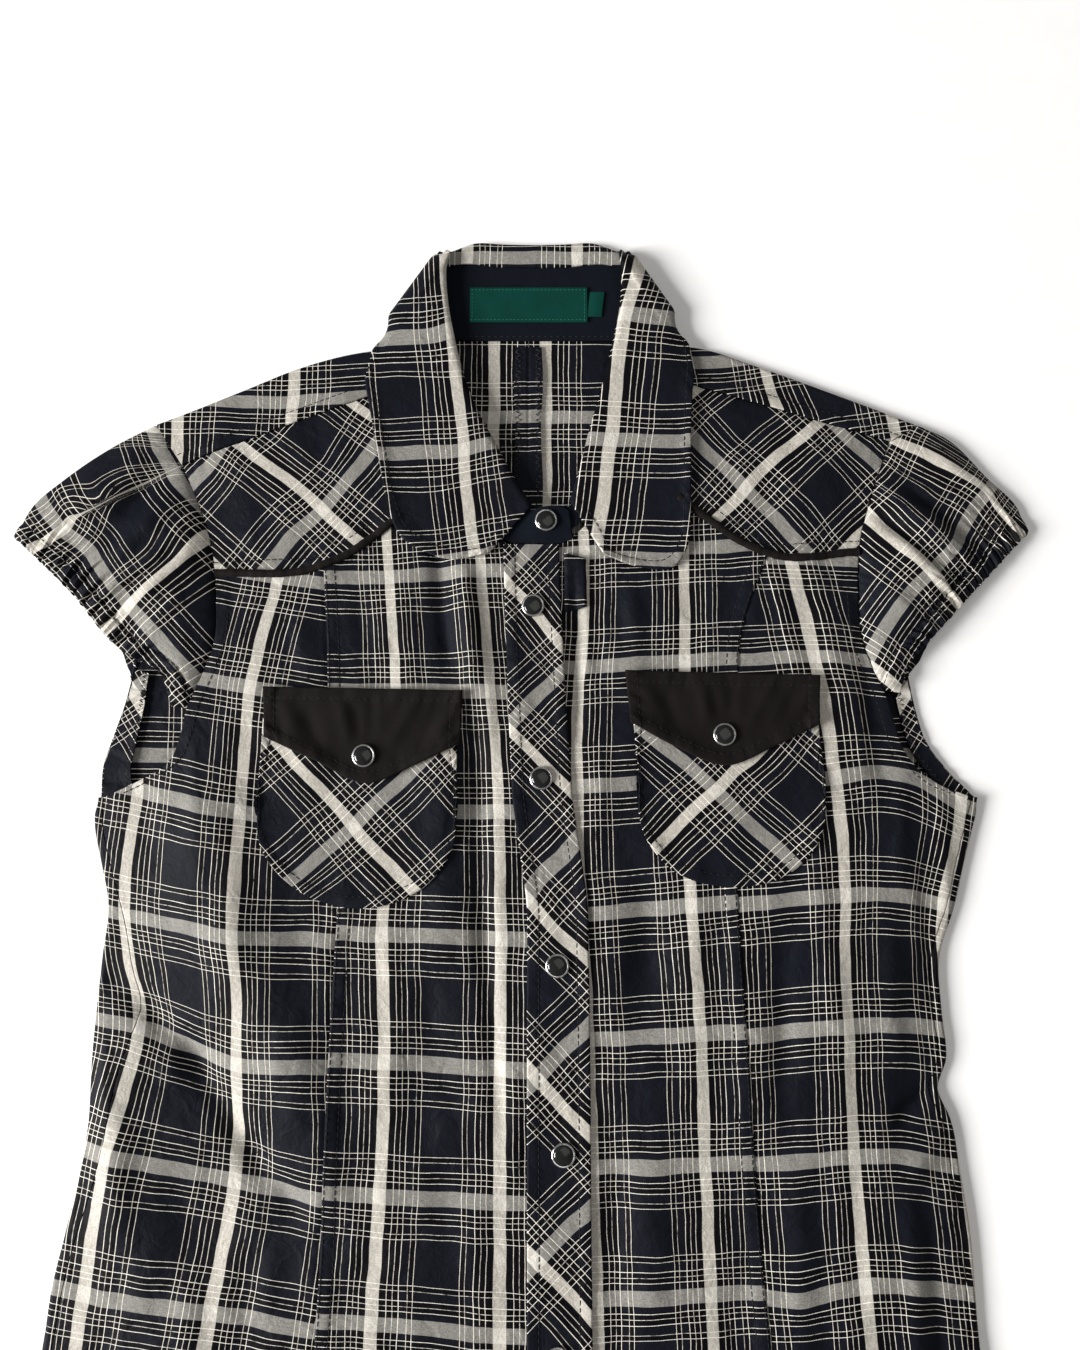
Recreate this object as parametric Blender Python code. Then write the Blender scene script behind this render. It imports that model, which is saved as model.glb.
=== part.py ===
"""Cap-sleeve western-style plaid shirt with snaps, laid out flat with its front up.

Frame: metres, +Z up from the surface that the shirt lies on, +Y towards the collar, and the wearer's
right side at -X. The origin is on that surface, under the middle of the shirt's bounding box.
All tables and sizes are in millimetres and are turned into metres where a mesh is made.

Each piece of cloth is a wall: a grid of points on its outer face, and the same grid moved in by the
cloth's thickness. The back lies on the surface and wraps round the sides and over the shoulders. The
fronts, yokes, placket and pockets follow one height, top_height(x, y), the upper face of the top layer.
"""

import math

import bpy
import numpy as np

MM = 0.001

# Cloth
CLOTH = 1.2
SEAM = 0.3
FOLD = 2.2                # outer radius of the folds at the sides and shoulders
LAYER = 1.75              # from one laid-on piece's outer face to the next
PIPING_WIDTH = 4.0
PIPING_HEIGHT = 2.2
PIPING_TURNS = (-90, -30, 30, 90, 150, 210)   # its corners, in degrees

# Collar and stand: the ring round the neck, pressed flat
RING_FOLD = 4.8           # outer face of the collar to the ring's middle plane
ROLL = 2.1                # radius of the collar's roll
STRIP = 13.5              # collar seen inside the neck, above the stand
STAND_FACE = 3.3          # outer face of the stand to the ring's middle plane
STAND_IN_ROLL = 4.0       # from the roll to the stand's upper edge
STAND_IN_ROLL_END = 2.8   # the same at the collar's front ends
SHEET_PARTS = (0.1, 0.3, 0.55, 0.8, 1.0)      # collar's rows, from the roll to its outer edge
STAND_PARTS = (0.0, 0.14, 0.4, 0.7, 1.0)      # stand's rows, from its upper edge to the neck seam
STAND_SEAM_LOWEST = 5.8   # outer face of the stand at the front neck seam, at least
STAND_CLEAR = 0.5         # collar's inner face to the stand

# Height of the top layer
EDGE_REACH = 26.0         # how far in from a fold the cloth takes to rise
RISE_POWER = 1.6          # how softly the rise starts
LOFT_Y = (-313, -220, -60, 60, 150, 320)
LOFT_MM = (3.6, 5.0, 6.2, 5.2, 3.7, 3.7)

# Snaps: radius and height of each ring of the cap, up from its underside's rim
SNAP_SIDES = 12
SNAP_RADIUS = 5.65
SNAP_DOME = 0.12          # the middle of the cap above its last ring
SNAP_PROFILE = [(5.2, 0.0), (SNAP_RADIUS, 0.6), (5.3, 1.6), (4.3, 1.5), (3.8, 1.9), (2.0, 2.3)]

# Labels and the seam inside the back
LABEL = 0.8
LABEL_CORNERS = (-26.5, 271.5, 34.5, 290.5)
BACK_SEAM = 1.0
BACK_SEAM_HALF = 7.0
BACK_SEAM_Y = (110.0, 258.5)

# Sleeves
PUFF = 6.0
HEM_LOFT = 2.2            # the hem's middle above its ends
SLEEVE_CLEAR = (0.45, -0.15)                  # from the armhole's edge, outwards and along Y
TOP_GATHERS = 18
UNDER_GATHERS = 14
GATHER_STEPS = 3
UNDER_GATHER_STEPS = 2
GATHER_HEIGHT = 0.9
UNDER_GATHER_HEIGHT = 1.44
GATHER_START = 0.5        # gathers run from here to the hem

RIGHT, LEFT = 0, 1        # the wearer's sides, as columns of the tables
OUTWARD = (-1.0, 1.0)     # along X
SIDE_NAME = ("right", "left")

# The body, section by section up from the hem:
# y, right side: fold, side seam, princess seam; placket's two edges; left side: princess, side seam, fold
SECTIONS = [
    (-313, -222.0, -217.5, -94.0, 4.2, 34.0, 117.0, 210.5, 215.0),
    (-285, -222.0, -217.5, -93.5, 4.2, 34.0, 116.5, 210.5, 215.0),
    (-255, -221.0, -216.5, -93.0, 4.1, 33.9, 115.5, 209.5, 214.0),
    (-225, -218.0, -213.0, -92.0, 4.0, 33.8, 114.5, 207.5, 212.0),
    (-200, -216.0, -210.5, -91.0, 4.0, 33.8, 112.5, 207.0, 211.5),
    (-175, -211.0, -205.0, -90.3, 4.0, 33.7, 111.0, 206.0, 210.5),
    (-150, -206.0, -197.5, -89.7, 3.9, 33.6, 109.5, 203.0, 207.5),
    (-124, -203.0, -192.0, -89.2, 3.9, 33.6, 108.3, 199.0, 203.5),
    (-111, -203.0, -190.0, -89.0, 3.9, 33.6, 107.8, 194.0, 198.5),
    (-98, -203.0, -187.5, -88.7, 3.9, 33.5, 107.3, 198.5, 203.0),
    (-75, -202.0, -181.0, -88.0, 3.8, 33.4, 106.2, 197.5, 202.0),
    (-50, -200.5, -186.0, -87.2, 3.8, 33.0, 105.0, 197.8, 202.3),
    (-25, -199.0, -192.5, -86.4, 3.6, 32.6, 104.2, 206.5, 211.0),
    (-5, -203.5, -198.8, -86.8, 1.0, 30.0, 104.0, 212.0, 216.5),
    (12, -207.5, -203.0, -87.8, -1.5, 27.5, 104.4, 217.0, 221.5),
    (26, -208.0, -203.6, -89.0, -3.5, 25.5, 104.8, 221.4, 226.0),
]
SECTION = np.array(SECTIONS, float)
FOLD_COLUMN, SEAM_COLUMN, PRINCESS_COLUMN = (1, 8), (2, 7), (3, 6)
PLACKET_COLUMNS = (4, 5)
UNDERARM_Y = SECTION[-1, 0]
HEM_RISE = 30.0           # the shirt-tail hem is this much higher at the sides
HEM_POWER = 2.4           # how late its curve rises
HEM_ROWS_TOP = -200.0     # the hem's curve has died out at this height

# Curves above the underarm, each up from its lower end: x, y
FRONT_ARMHOLE = [
    [(-203.6, 26), (-188, 33), (-170.5, 44), (-166, 56.5), (-164, 68), (-157, 86), (-151.5, 104),
     (-151.5, 121), (-152.5, 137.3)],
    [(221.4, 26), (204, 33), (189, 48), (184.5, 63), (181, 76), (174.5, 91), (170, 106),
     (169.3, 127), (170, 148.7)],
]
BACK_ARMHOLE = [
    [(-205.8, 26), (-205.5, 42), (-202, 54), (-197, 70), (-192, 91), (-184, 112), (-177, 138),
     (-175, 162), (-178, 190), (-185.6, 214.4)],
    [(223.8, 26), (209, 42), (201, 54), (196.5, 70), (193, 91), (189, 115), (186.5, 140),
     (187, 165), (192, 190), (201.1, 214.4)],
]
SLEEVE_END_ROW = 4        # the sleeve starts at this point of the front armhole
SLEEVE_UNDER_LOWEST = 83.0    # the sleeve's underside starts at the back armhole's first point above this
FRONT_PRINCESS = [
    [(-89, 26), (-93, 66), (-95, 104), (-97.5, 139.6)],
    [(104.8, 26), (106, 66), (110, 110), (123, 145.7)],
]
SHOULDER = [
    [(-63, 256.8), (-80, 255.6), (-112, 247.5), (-143, 234.5), (-175, 221), (-186.5, 216.5)],
    [(73, 259.0), (91, 257.8), (121, 248), (158, 234), (191, 221), (202, 216.5)],
]
BACK_NECK = [
    [(4, 263.3), (-24, 263.2), (-48, 261.5), (-63, 256.8)],
    [(4, 263.3), (32, 263.2), (58, 262.5), (73, 259.0)],
]
YOKE_TOP = [
    [(-172.3, 194.3), (-125, 212.5), (-76, 231), (-54.5, 239)],
    [(188.6, 206.8), (138, 221.8), (87, 237), (68, 242.6)],
]
YOKE_ARMHOLE = [
    [(-152.5, 137.3), (-155, 150), (-162, 171), (-172.3, 194.3)],
    [(170, 148.7), (173, 162), (180, 184), (188.6, 206.8)],
]
YOKE_NECK = [
    [(-34, 186), (-41, 201), (-48, 220), (-54.5, 239)],
    [(53, 195.5), (60, 212), (65, 228), (68, 242.6)],
]
FRONT_NECK = [
    [(-34, 186), (-25, 169), (-15, 157.5), (-4.8, 151.8)],
    [(53, 195.5), (43, 177), (32, 161), (20, 152.3), (-4.4, 151.8)],
]
PLACKET_TOP = ((-8.2, 151.5), (19.5, 151.5))
PLACKET_COLUMNS_ACROSS = 4
PLACKET_UPPER_ROWS = 7
BUTT = 3.5                # from the placket's edge to where the two fronts meet under it
# End of the under front's band, beside the placket at the neck: outer and inner edge, upwards
UNDERLAP_END = [[(22.3, 117), (22.0, 147)], [(33.5, 120), (33, 144.5)]]

# The collar ring from the wearer's right front end to the side:
# roll x, y; collar's outer edge x, y; neck seam x, y
NECK_FRONT = [
    [(6.3, 172, -15, 147, -4, 153), (-3, 187, -33, 143.6, -15.5, 160),
     (-12, 204, -50, 148.5, -25, 171.5), (-19, 217, -60.5, 156.5, -31.8, 184),
     (-25, 230, -66, 170, -37.8, 196.5), (-30, 245, -69.5, 186, -43.6, 211),
     (-34, 262, -73, 205, -48.6, 225.5), (-37.3, 280, -77, 225, -52.7, 238),
     (-38.6, 297, -79.5, 243, -57, 248)],
    [(25, 174, 42, 145.5, 22.5, 157), (28.5, 187, 60, 139.5, 32, 166),
     (32, 200, 75, 139, 41.2, 176.5), (35.5, 214, 83.5, 150, 48.6, 190),
     (40, 229, 85.5, 170, 54.7, 203), (44, 245, 86, 190, 59.5, 215.5),
     (48, 262, 86.5, 210, 62.6, 226), (51.3, 280, 87.5, 230, 65, 237),
     (52.3, 297, 89, 246, 67.6, 247)],
]
NECK_SIDE = [
    (-42, 313.6, -78.5, 260, -60.5, 257),
    (56, 313.6, 89.5, 262.5, 70.5, 258.5),
]
NECK_SIDE_TURNS = (90, 45, 0, -45, -90)
NECK_BACK = [
    (-24, 315.6, -50, 264.2, -45, 261.6), (-9, 315.2, -15, 264.2, -18, 262),
    (7, 314.9, 8, 264.2, 7, 262), (22, 315.2, 30, 264.2, 32, 262), (38, 315.6, 62, 264.6, 58, 261.8),
]
# Ends of the stand past the collar: upper edge x, y; lower edge x, y; lift over the other end
STAND_ENDS = [
    [(24.8, 168.5, 26.5, 155, 1.55), (20.5, 171, 21, 152.6, 1.55), (11, 171, 9, 152.4, 1.55)],
    [(12.5, 170, 12.5, 155.5, -0.25), (18, 172, 16, 153.9, -0.1)],
]

# Sleeves: hem and outer fold, from the front's low end and from the shoulder: x, y
SLEEVE_HEM = [
    [(-171, 70.5), (-177, 86.5), (-195, 96.5), (-225, 128.5), (-253, 154.5)],
    [(188, 77.5), (193, 92), (199, 98.5), (228, 129.5), (254.5, 157)],
]
SLEEVE_UNDER_HEM = [
    [(-253, 154.5), (-229, 134), (-207, 112), (-197, 94.5)],
    [(254.5, 157), (232, 134), (210, 112), (199.5, 93.5)],
]
SLEEVE_FOLD = [
    [(-186.5, 216.5), (-210, 203.5), (-232, 187.5), (-248, 172.5), (-255.5, 157)],
    [(202, 216.5), (218, 209), (238, 188), (252, 173), (257, 160)],
]

# Pockets: flap's upper corners and its lower edge; bag's upper corners and its lower edge
POCKETS = [
    dict(
        flap_top=[(-125.6, 79.8), (-27.6, 77.8)],
        flap=[(-124, 55), (-98, 43), (-74.5, 32.5), (-51, 41), (-29, 51.6)],
        bag_top=[(-125, 74), (-30, 73)],
        bag=[(-126.7, 24.7), (-124, 2), (-108, -17), (-75, -27), (-46, -17.5), (-32, 1), (-30.5, 22)],
    ),
    dict(
        flap_top=[(51.6, 87.8), (147.3, 85.3)],
        flap=[(54, 62), (76, 50), (99.5, 41), (124, 50.5), (146, 61)],
        bag_top=[(54, 82), (144.5, 80)],
        bag=[(58, 32), (59.5, 9), (73, -8.5), (103, -17), (132, -9), (145.5, 8), (148, 34)],
    ),
]
BAG_STEPS = (9, 6)        # across and up
FLAP_STEPS = (8, 3)

# Where the snaps are: name, x, y, what they sit on
SNAPS = [
    ("snap_stand", 13.0, 163.8, "stand"),
    ("snap_front_1", 6.5, 120.1, "placket"),
    ("snap_front_2", 10.5, 34.9, "placket"),
    ("snap_front_3", 18.1, -53.4, "placket"),
    ("snap_front_4", 20.8, -138.8, "placket"),
    ("snap_front_5", 17.8, -227.1, "placket"),
    ("snap_pocket_right", -75.4, 45.7, "flap"),
    ("snap_pocket_left", 99.5, 56.0, "flap"),
]

# Largest soft folds of the laid-out fronts: from x, y to x, y, half width, height
FOLD_PLAIN = 0.25         # a fold keeps its height this far from its middle, as a share of its length
FOLD_FADE = 0.22          # and fades over this share
DRAPE = [
    (-182, -62, -146, -114, 9, -2.6),
    (-148, -111, -108, -174, 10, -2.2),
    (-30, 136, -18, 40, 7, 2.0),
    (-16, 20, -10, -110, 7, 1.6),
    (47, 132, 50, 96, 6, -1.4),
    (160, 140, 168, 40, 9, 1.6),
    (190, 0, 193, -62, 5, 1.8),
    (197, -108, 178, -124, 6, -2.0),
    (150, -40, 160, -190, 14, 1.6),
    (-150, 20, -168, -40, 12, 1.4),
    (60, -60, 74, -250, 16, 1.2),
    (-60, -70, -52, -240, 16, 1.3),
]
# The same for the puffed sleeves
SLEEVE_DRAPE = [
    [(-176, 188, -207, 167, 6, -2.6), (-207, 167, -228, 146, 7, -2.2), (-166, 160, -196, 118, 7, 1.8),
     (-190, 205, -236, 172, 6, 1.6)],
    [(190, 198, 221, 165, 6, -2.6), (221, 165, 240, 144, 7, -2.2), (184, 168, 214, 126, 7, 1.8),
     (206, 206, 240, 172, 6, 1.6)],
]

# Looks of the plain materials: colour, roughness, metallic
MATERIALS = {
    "plaid": ((0.045, 0.052, 0.075), 0.85, 0.0),
    "black_twill": ((0.012, 0.012, 0.014), 0.75, 0.0),
    "navy_cotton": ((0.018, 0.022, 0.038), 0.85, 0.0),
    "green_label": ((0.005, 0.065, 0.045), 0.6, 0.0),
    "snap_cap": ((0.05, 0.05, 0.055), 0.25, 0.0),
}


# ---------------------------------------------------------------- curves and patches

def smooth(points, steps=12):
    """A smooth curve through the points, as a dense line of points."""
    points = np.array(points, float)
    if len(points) < 3:
        return points
    spans = np.linalg.norm(np.diff(points, axis=0), axis=1)
    slopes = np.diff(points, axis=0) / spans[:, None]
    before, after = spans[:-1, None], spans[1:, None]
    inner = (slopes[:-1] * after + slopes[1:] * before) / (before + after)
    tangents = np.vstack([slopes[:1], inner, slopes[-1:]])
    line = []
    for k, span in enumerate(spans):
        start, end = points[k], points[k + 1]
        leave, arrive = span * tangents[k], span * tangents[k + 1]
        for s in np.arange(steps) / steps:
            ahead = 3 * s**2 - 2 * s**3
            bend = (s**3 - 2 * s**2 + s) * leave + (s**3 - s**2) * arrive
            line.append(start + (end - start) * ahead + bend)
    line.append(points[-1])
    return np.array(line)


def along(line, fractions):
    """Points at these fractions of the line's length."""
    line = np.asarray(line, float)
    run = np.concatenate([[0.0], np.cumsum(np.linalg.norm(np.diff(line, axis=0), axis=1))])
    return np.column_stack([np.interp(fractions, run / run[-1], line[:, k]) for k in range(line.shape[1])])


def even(count):
    """Fractions from 0 to 1 in this many equal steps."""
    return np.linspace(0.0, 1.0, count + 1)


def patch(bottom, top, left, right, u=None, v=None):
    """Grid of points, rows from bottom to top, between four edges that share their corners."""
    bottom, top, left, right = (np.asarray(edge, float) for edge in (bottom, top, left, right))
    u = even(len(bottom) - 1) if u is None else np.asarray(u)
    v = even(len(left) - 1) if v is None else np.asarray(v)
    across, up = u[None, :, None], v[:, None, None]
    between_rows = (1 - up) * bottom[None] + up * top[None]
    between_columns = (1 - across) * left[:, None] + across * right[:, None]
    corners = ((1 - across) * (1 - up) * bottom[0] + across * (1 - up) * bottom[-1]
               + (1 - across) * up * top[0] + across * up * top[-1])
    return between_rows + between_columns - corners


def distance(line, x, y):
    """Distance in the plane from each x, y to a line of points."""
    best = np.full(np.shape(x), np.inf)
    for (ax, ay), (bx, by) in zip(line[:-1], line[1:]):
        length2 = (bx - ax) ** 2 + (by - ay) ** 2
        t = np.clip(((x - ax) * (bx - ax) + (y - ay) * (by - ay)) / length2, 0, 1)
        best = np.minimum(best, np.hypot(x - ax - t * (bx - ax), y - ay - t * (by - ay)))
    return best


def drape(strokes, x, y):
    """Sum of soft troughs and ridges, each fading towards its ends."""
    total = np.zeros(np.shape(x))
    for ax, ay, bx, by, width, height in strokes:
        length = math.hypot(bx - ax, by - ay)
        run = ((x - ax) * (bx - ax) + (y - ay) * (by - ay)) / length**2
        off = ((x - ax) * (by - ay) - (y - ay) * (bx - ax)) / length
        fade = np.exp(-((np.clip(np.abs(run - 0.5) - FOLD_PLAIN, 0, None) / FOLD_FADE) ** 2))
        total += height * np.exp(-((off / width) ** 2)) * fade
    return total


# ---------------------------------------------------------------- the shirt's height

OUTLINES = [
    np.vstack([SECTION[:, [0, FOLD_COLUMN[s]]][:, ::-1], np.array(BACK_ARMHOLE[s][1:-1], float),
               np.array(SHOULDER[s], float)[::-1]])
    for s in (RIGHT, LEFT)
]


def top_height(x, y):
    """Height of the upper face of the top layer."""
    x, y = np.asarray(x, float), np.asarray(y, float)
    inside = np.minimum(distance(OUTLINES[RIGHT], x, y), distance(OUTLINES[LEFT], x, y))
    rise = 1 - np.exp(-((np.clip(inside - FOLD, 0, None) / EDGE_REACH) ** RISE_POWER))
    return 2 * FOLD + rise * (np.interp(y, LOFT_Y, LOFT_MM) + drape(DRAPE, x, y))


def lift(grid, offset=0.0):
    """Gives a flat grid of x, y the height of the top layer, and an offset above it."""
    x, y = grid[..., 0], grid[..., 1]
    return np.dstack([x, y, top_height(x, y) + offset])


# ---------------------------------------------------------------- meshes

def material(name):
    if name in bpy.data.materials:
        return bpy.data.materials[name]
    colour, roughness, metallic = MATERIALS[name]
    made = bpy.data.materials.new(name)
    made.use_nodes = True
    shader = made.node_tree.nodes["Principled BSDF"]
    shader.inputs["Base Color"].default_value = (*colour, 1.0)
    shader.inputs["Roughness"].default_value = roughness
    shader.inputs["Metallic"].default_value = metallic
    made.diffuse_color = (*colour, 1.0)
    return made


def add_object(name, points_mm, faces, slot):
    """Makes a named object from points in millimetres and turns its faces outwards."""
    points = np.asarray(points_mm, float) * MM
    volume = sum(np.dot(points[f[0]], np.cross(points[f[i]], points[f[i + 1]]))
                 for f in faces for i in range(1, len(f) - 1))
    if volume < 0:
        faces = [tuple(reversed(f)) for f in faces]
    mesh = bpy.data.meshes.new(name)
    mesh.from_pydata([tuple(p) for p in points], [], faces)
    mesh.materials.append(material(slot))
    mesh.shade_smooth()
    mesh.set_sharp_from_angle(angle=math.radians(50))
    made = bpy.data.objects.new(name, mesh)
    bpy.context.scene.collection.objects.link(made)
    return made


def wall(name, grid, slot, facing=1.0, keep=None, thickness=CLOTH):
    """A sheet of cloth. grid holds rows of points on its outer face, and keep says which cells it has.

    facing is 1 where columns x rows points outwards, and -1 where it points inwards.
    """
    rows, columns = grid.shape[:2]
    if keep is None:
        keep = np.ones((rows - 1, columns - 1), bool)
    triangles = []
    for j, i in zip(*np.nonzero(keep)):
        a, b, c, d = (j, i), (j, i + 1), (j + 1, i + 1), (j + 1, i)
        triangles += [(a, b, c), (a, c, d)] if (i + j) % 2 == 0 else [(a, b, d), (b, c, d)]
    normals = np.zeros(grid.shape)
    for a, b, c in triangles:
        normal = np.cross(grid[b] - grid[a], grid[c] - grid[a]) * facing
        for corner in (a, b, c):
            normals[corner] += normal / np.linalg.norm(normal)
    index, outer = {}, []
    for triangle in triangles:
        for corner in triangle:
            if corner not in index:
                index[corner] = len(index)
                outer.append(corner)
    count = len(outer)
    faces_out = [tuple(index[c] for c in t) for t in triangles]
    edges = {}
    for a, b, c in faces_out:
        for edge in ((a, b), (b, c), (c, a)):
            edges[edge] = edges.get(edge, 0) + 1
    rim = [(a, b) for (a, b) in edges if (b, a) not in edges]
    faces = faces_out + [(c + count, b + count, a + count) for a, b, c in faces_out]
    for a, b in rim:
        faces += [(b, a, a + count), (b, a + count, b + count)]
    top = np.array([grid[c] for c in outer])
    inward = np.array([normals[c] / np.linalg.norm(normals[c]) for c in outer])
    return add_object(name, np.vstack([top, top - inward * thickness]), faces, slot)


def turned(name, profile, centre, slot, sides=SNAP_SIDES):
    """A round piece: profile holds the radius and height of each ring."""
    points = [(0.0, 0.0, profile[0][1])]
    for radius, height in profile:
        for k in range(sides):
            turn = 2 * math.pi * k / sides
            points.append((radius * math.cos(turn), radius * math.sin(turn), height))
    points.append((0.0, 0.0, profile[-1][1] + SNAP_DOME))
    last = len(points) - 1
    faces = []
    for k in range(sides):
        n = (k + 1) % sides
        faces.append((0, 1 + n, 1 + k))
        for ring in range(len(profile) - 1):
            low, high = 1 + ring * sides, 1 + (ring + 1) * sides
            faces.append((low + k, low + n, high + n, high + k))
        faces.append((last - sides + k, last - sides + n, last))
    return add_object(name, np.array(points) + np.array(centre), faces, slot)


# ---------------------------------------------------------------- body

def hem_weight(y):
    return np.clip((HEM_ROWS_TOP - y) / (HEM_ROWS_TOP - SECTION[0, 0]), 0, 1)


def section_points(k, xs):
    """Points of a section at these x: level, but for the hem's curve."""
    y = SECTION[k, 0]
    xs = np.asarray(xs, float)
    reach = np.abs(np.where(xs < 0, xs / SECTION[0, FOLD_COLUMN[RIGHT]], xs / SECTION[0, FOLD_COLUMN[LEFT]]))
    return np.column_stack([xs, y + HEM_RISE * hem_weight(y) * reach**HEM_POWER])


FLOOR_U = np.array([0, 0.16, 0.32, 0.46, 0.6, 0.74, 0.87, 1.0])
NECK_CORNER = 2           # the column of FLOOR_U that ends at the neck's corner
ARC_TURNS = np.radians([-45, 0, 45, 90])
UPPER_ROWS = 8
CENTRE_BACK_X = 4.0


def shoulder_frame(side, fractions):
    """Points of the shoulder fold's middle line in the plane, and its outward direction."""
    line = smooth(SHOULDER[side])
    points = along(line, fractions)
    dense = even(40)
    run = np.gradient(along(line, dense), axis=0)
    run = np.column_stack([np.interp(fractions, dense, run[:, k]) for k in (0, 1)])
    out = np.column_stack([-run[:, 1], run[:, 0]])
    out /= np.linalg.norm(out, axis=1)[:, None]
    out *= np.sign(out[:, 1])[:, None]
    return points - out * FOLD, out


def back_grid(side):
    """The back half: across the floor, round the side to its seam, and over the shoulder to the yoke."""
    outward = OUTWARD[side]
    centre_x = CENTRE_BACK_X + outward * SEAM / 2
    wrap = len(ARC_TURNS) + 2
    rows = len(SECTION) + UPPER_ROWS + len(ARC_TURNS) + 2
    columns = len(FLOOR_U) + wrap
    grid = np.full((rows, columns, 3), np.nan)
    floor = slice(0, len(FLOOR_U))
    for k in range(len(SECTION)):
        fold_x = SECTION[k, FOLD_COLUMN[side]]
        edge_x = fold_x - outward * FOLD
        seam_x = SECTION[k, SEAM_COLUMN[side]] + outward * SEAM / 2
        flat = section_points(k, centre_x + (edge_x - centre_x) * FLOOR_U)
        grid[k, floor] = np.column_stack([flat, np.zeros(len(flat))])
        y = flat[-1, 1]
        for n, turn in enumerate(ARC_TURNS):
            x = edge_x + outward * FOLD * math.cos(turn)
            grid[k, len(FLOOR_U) + n] = (x, y, FOLD + FOLD * math.sin(turn))
        for n, part in enumerate((0.5, 1.0)):
            x = edge_x + (seam_x - edge_x) * part
            y_here = section_points(k, [x])[0, 1]
            grid[k, len(FLOOR_U) + len(ARC_TURNS) + n] = (x, y_here, float(top_height(x, y_here)))
    shoulder_u = (FLOOR_U[NECK_CORNER:] - FLOOR_U[NECK_CORNER]) / (1 - FLOOR_U[NECK_CORNER])
    fold_line, out = shoulder_frame(side, shoulder_u)
    neck = along(smooth(BACK_NECK[side]), FLOOR_U[:NECK_CORNER] / FLOOR_U[NECK_CORNER])
    neck[0, 0] = centre_x
    top = np.vstack([neck, fold_line])
    bottom = grid[len(SECTION) - 1, floor, :2]
    v = even(UPPER_ROWS)
    armhole = along(smooth(BACK_ARMHOLE[side]), v)
    armhole[0], armhole[-1] = bottom[-1], top[-1]
    centre = np.column_stack([np.full(len(v), centre_x), UNDERARM_Y + (top[0, 1] - UNDERARM_Y) * v])
    upper = patch(bottom, top, centre, armhole, FLOOR_U, v)
    first = len(SECTION)
    grid[first:first + UPPER_ROWS, floor, :2] = upper[1:]
    grid[first:first + UPPER_ROWS, floor, 2] = 0.0
    shoulder_columns = slice(NECK_CORNER, len(FLOOR_U))
    row = first + UPPER_ROWS
    for turn in ARC_TURNS:
        grid[row, shoulder_columns, :2] = fold_line + out * FOLD * math.cos(turn)
        grid[row, shoulder_columns, 2] = FOLD + FOLD * math.sin(turn)
        row += 1
    seam = along(smooth(YOKE_TOP[side])[::-1], shoulder_u)
    seam = seam + out * SEAM * 0.7
    for part in (0.5, 1.0):
        line = fold_line + (seam - fold_line) * part
        grid[row, shoulder_columns, :2] = line
        grid[row, shoulder_columns, 2] = top_height(line[:, 0], line[:, 1])
        row += 1
    keep = np.zeros((rows - 1, columns - 1), bool)
    keep[:len(SECTION) - 1, :] = True
    keep[:len(SECTION) + UPPER_ROWS - 1, :len(FLOOR_U) - 1] = True
    keep[len(SECTION) + UPPER_ROWS - 1:, NECK_CORNER:len(FLOOR_U) - 1] = True
    return grid, keep


SIDE_FRONT_U = np.array([0, 0.07, 0.18, 0.34, 0.55, 0.78, 1.0])
CENTRE_FRONT_U = even(8)
YOKE_CORNER = 5           # the column of CENTRE_FRONT_U where the yoke's edge meets the neck


def butt_x(y):
    """Where the two fronts meet, under the placket."""
    return np.interp(y, np.append(SECTION[:, 0], PLACKET_TOP[0][1]),
                     np.append(SECTION[:, PLACKET_COLUMNS[0]], PLACKET_TOP[0][0])) + BUTT


def yoke_edge(side):
    """The yoke's lower edge: points along the side front, then along the centre front."""
    corner = FRONT_PRINCESS[side][-1]
    side_part = np.array([FRONT_ARMHOLE[side][-1], corner], float)
    centre_part = np.array([corner, FRONT_NECK[side][0]], float)
    return along(side_part, SIDE_FRONT_U), along(centre_part, even(YOKE_CORNER))


def side_front_grid(side):
    """Rows up from the hem; columns from the side to the princess seam."""
    outward = OUTWARD[side]
    rows = []
    for k in range(len(SECTION)):
        seam_x = SECTION[k, SEAM_COLUMN[side]] - outward * SEAM / 2
        princess_x = SECTION[k, PRINCESS_COLUMN[side]] + outward * SEAM / 2
        rows.append(section_points(k, seam_x + (princess_x - seam_x) * SIDE_FRONT_U))
    armhole = np.array(FRONT_ARMHOLE[side], float)
    armhole[0] = rows[-1][0]
    princess = along(smooth(FRONT_PRINCESS[side]), even(len(armhole) - 1))
    princess = princess + np.array([outward * SEAM / 2, 0])
    princess[0] = rows[-1][-1]
    top = yoke_edge(side)[0] - np.array([0, SEAM / 2])
    top[0], top[-1] = armhole[-1] - np.array([0, SEAM / 2]), princess[-1]
    armhole[-1] = top[0]
    upper = patch(rows[-1], top, armhole, princess, SIDE_FRONT_U, even(len(armhole) - 1))
    return np.concatenate([np.array(rows), upper[1:]])


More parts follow.
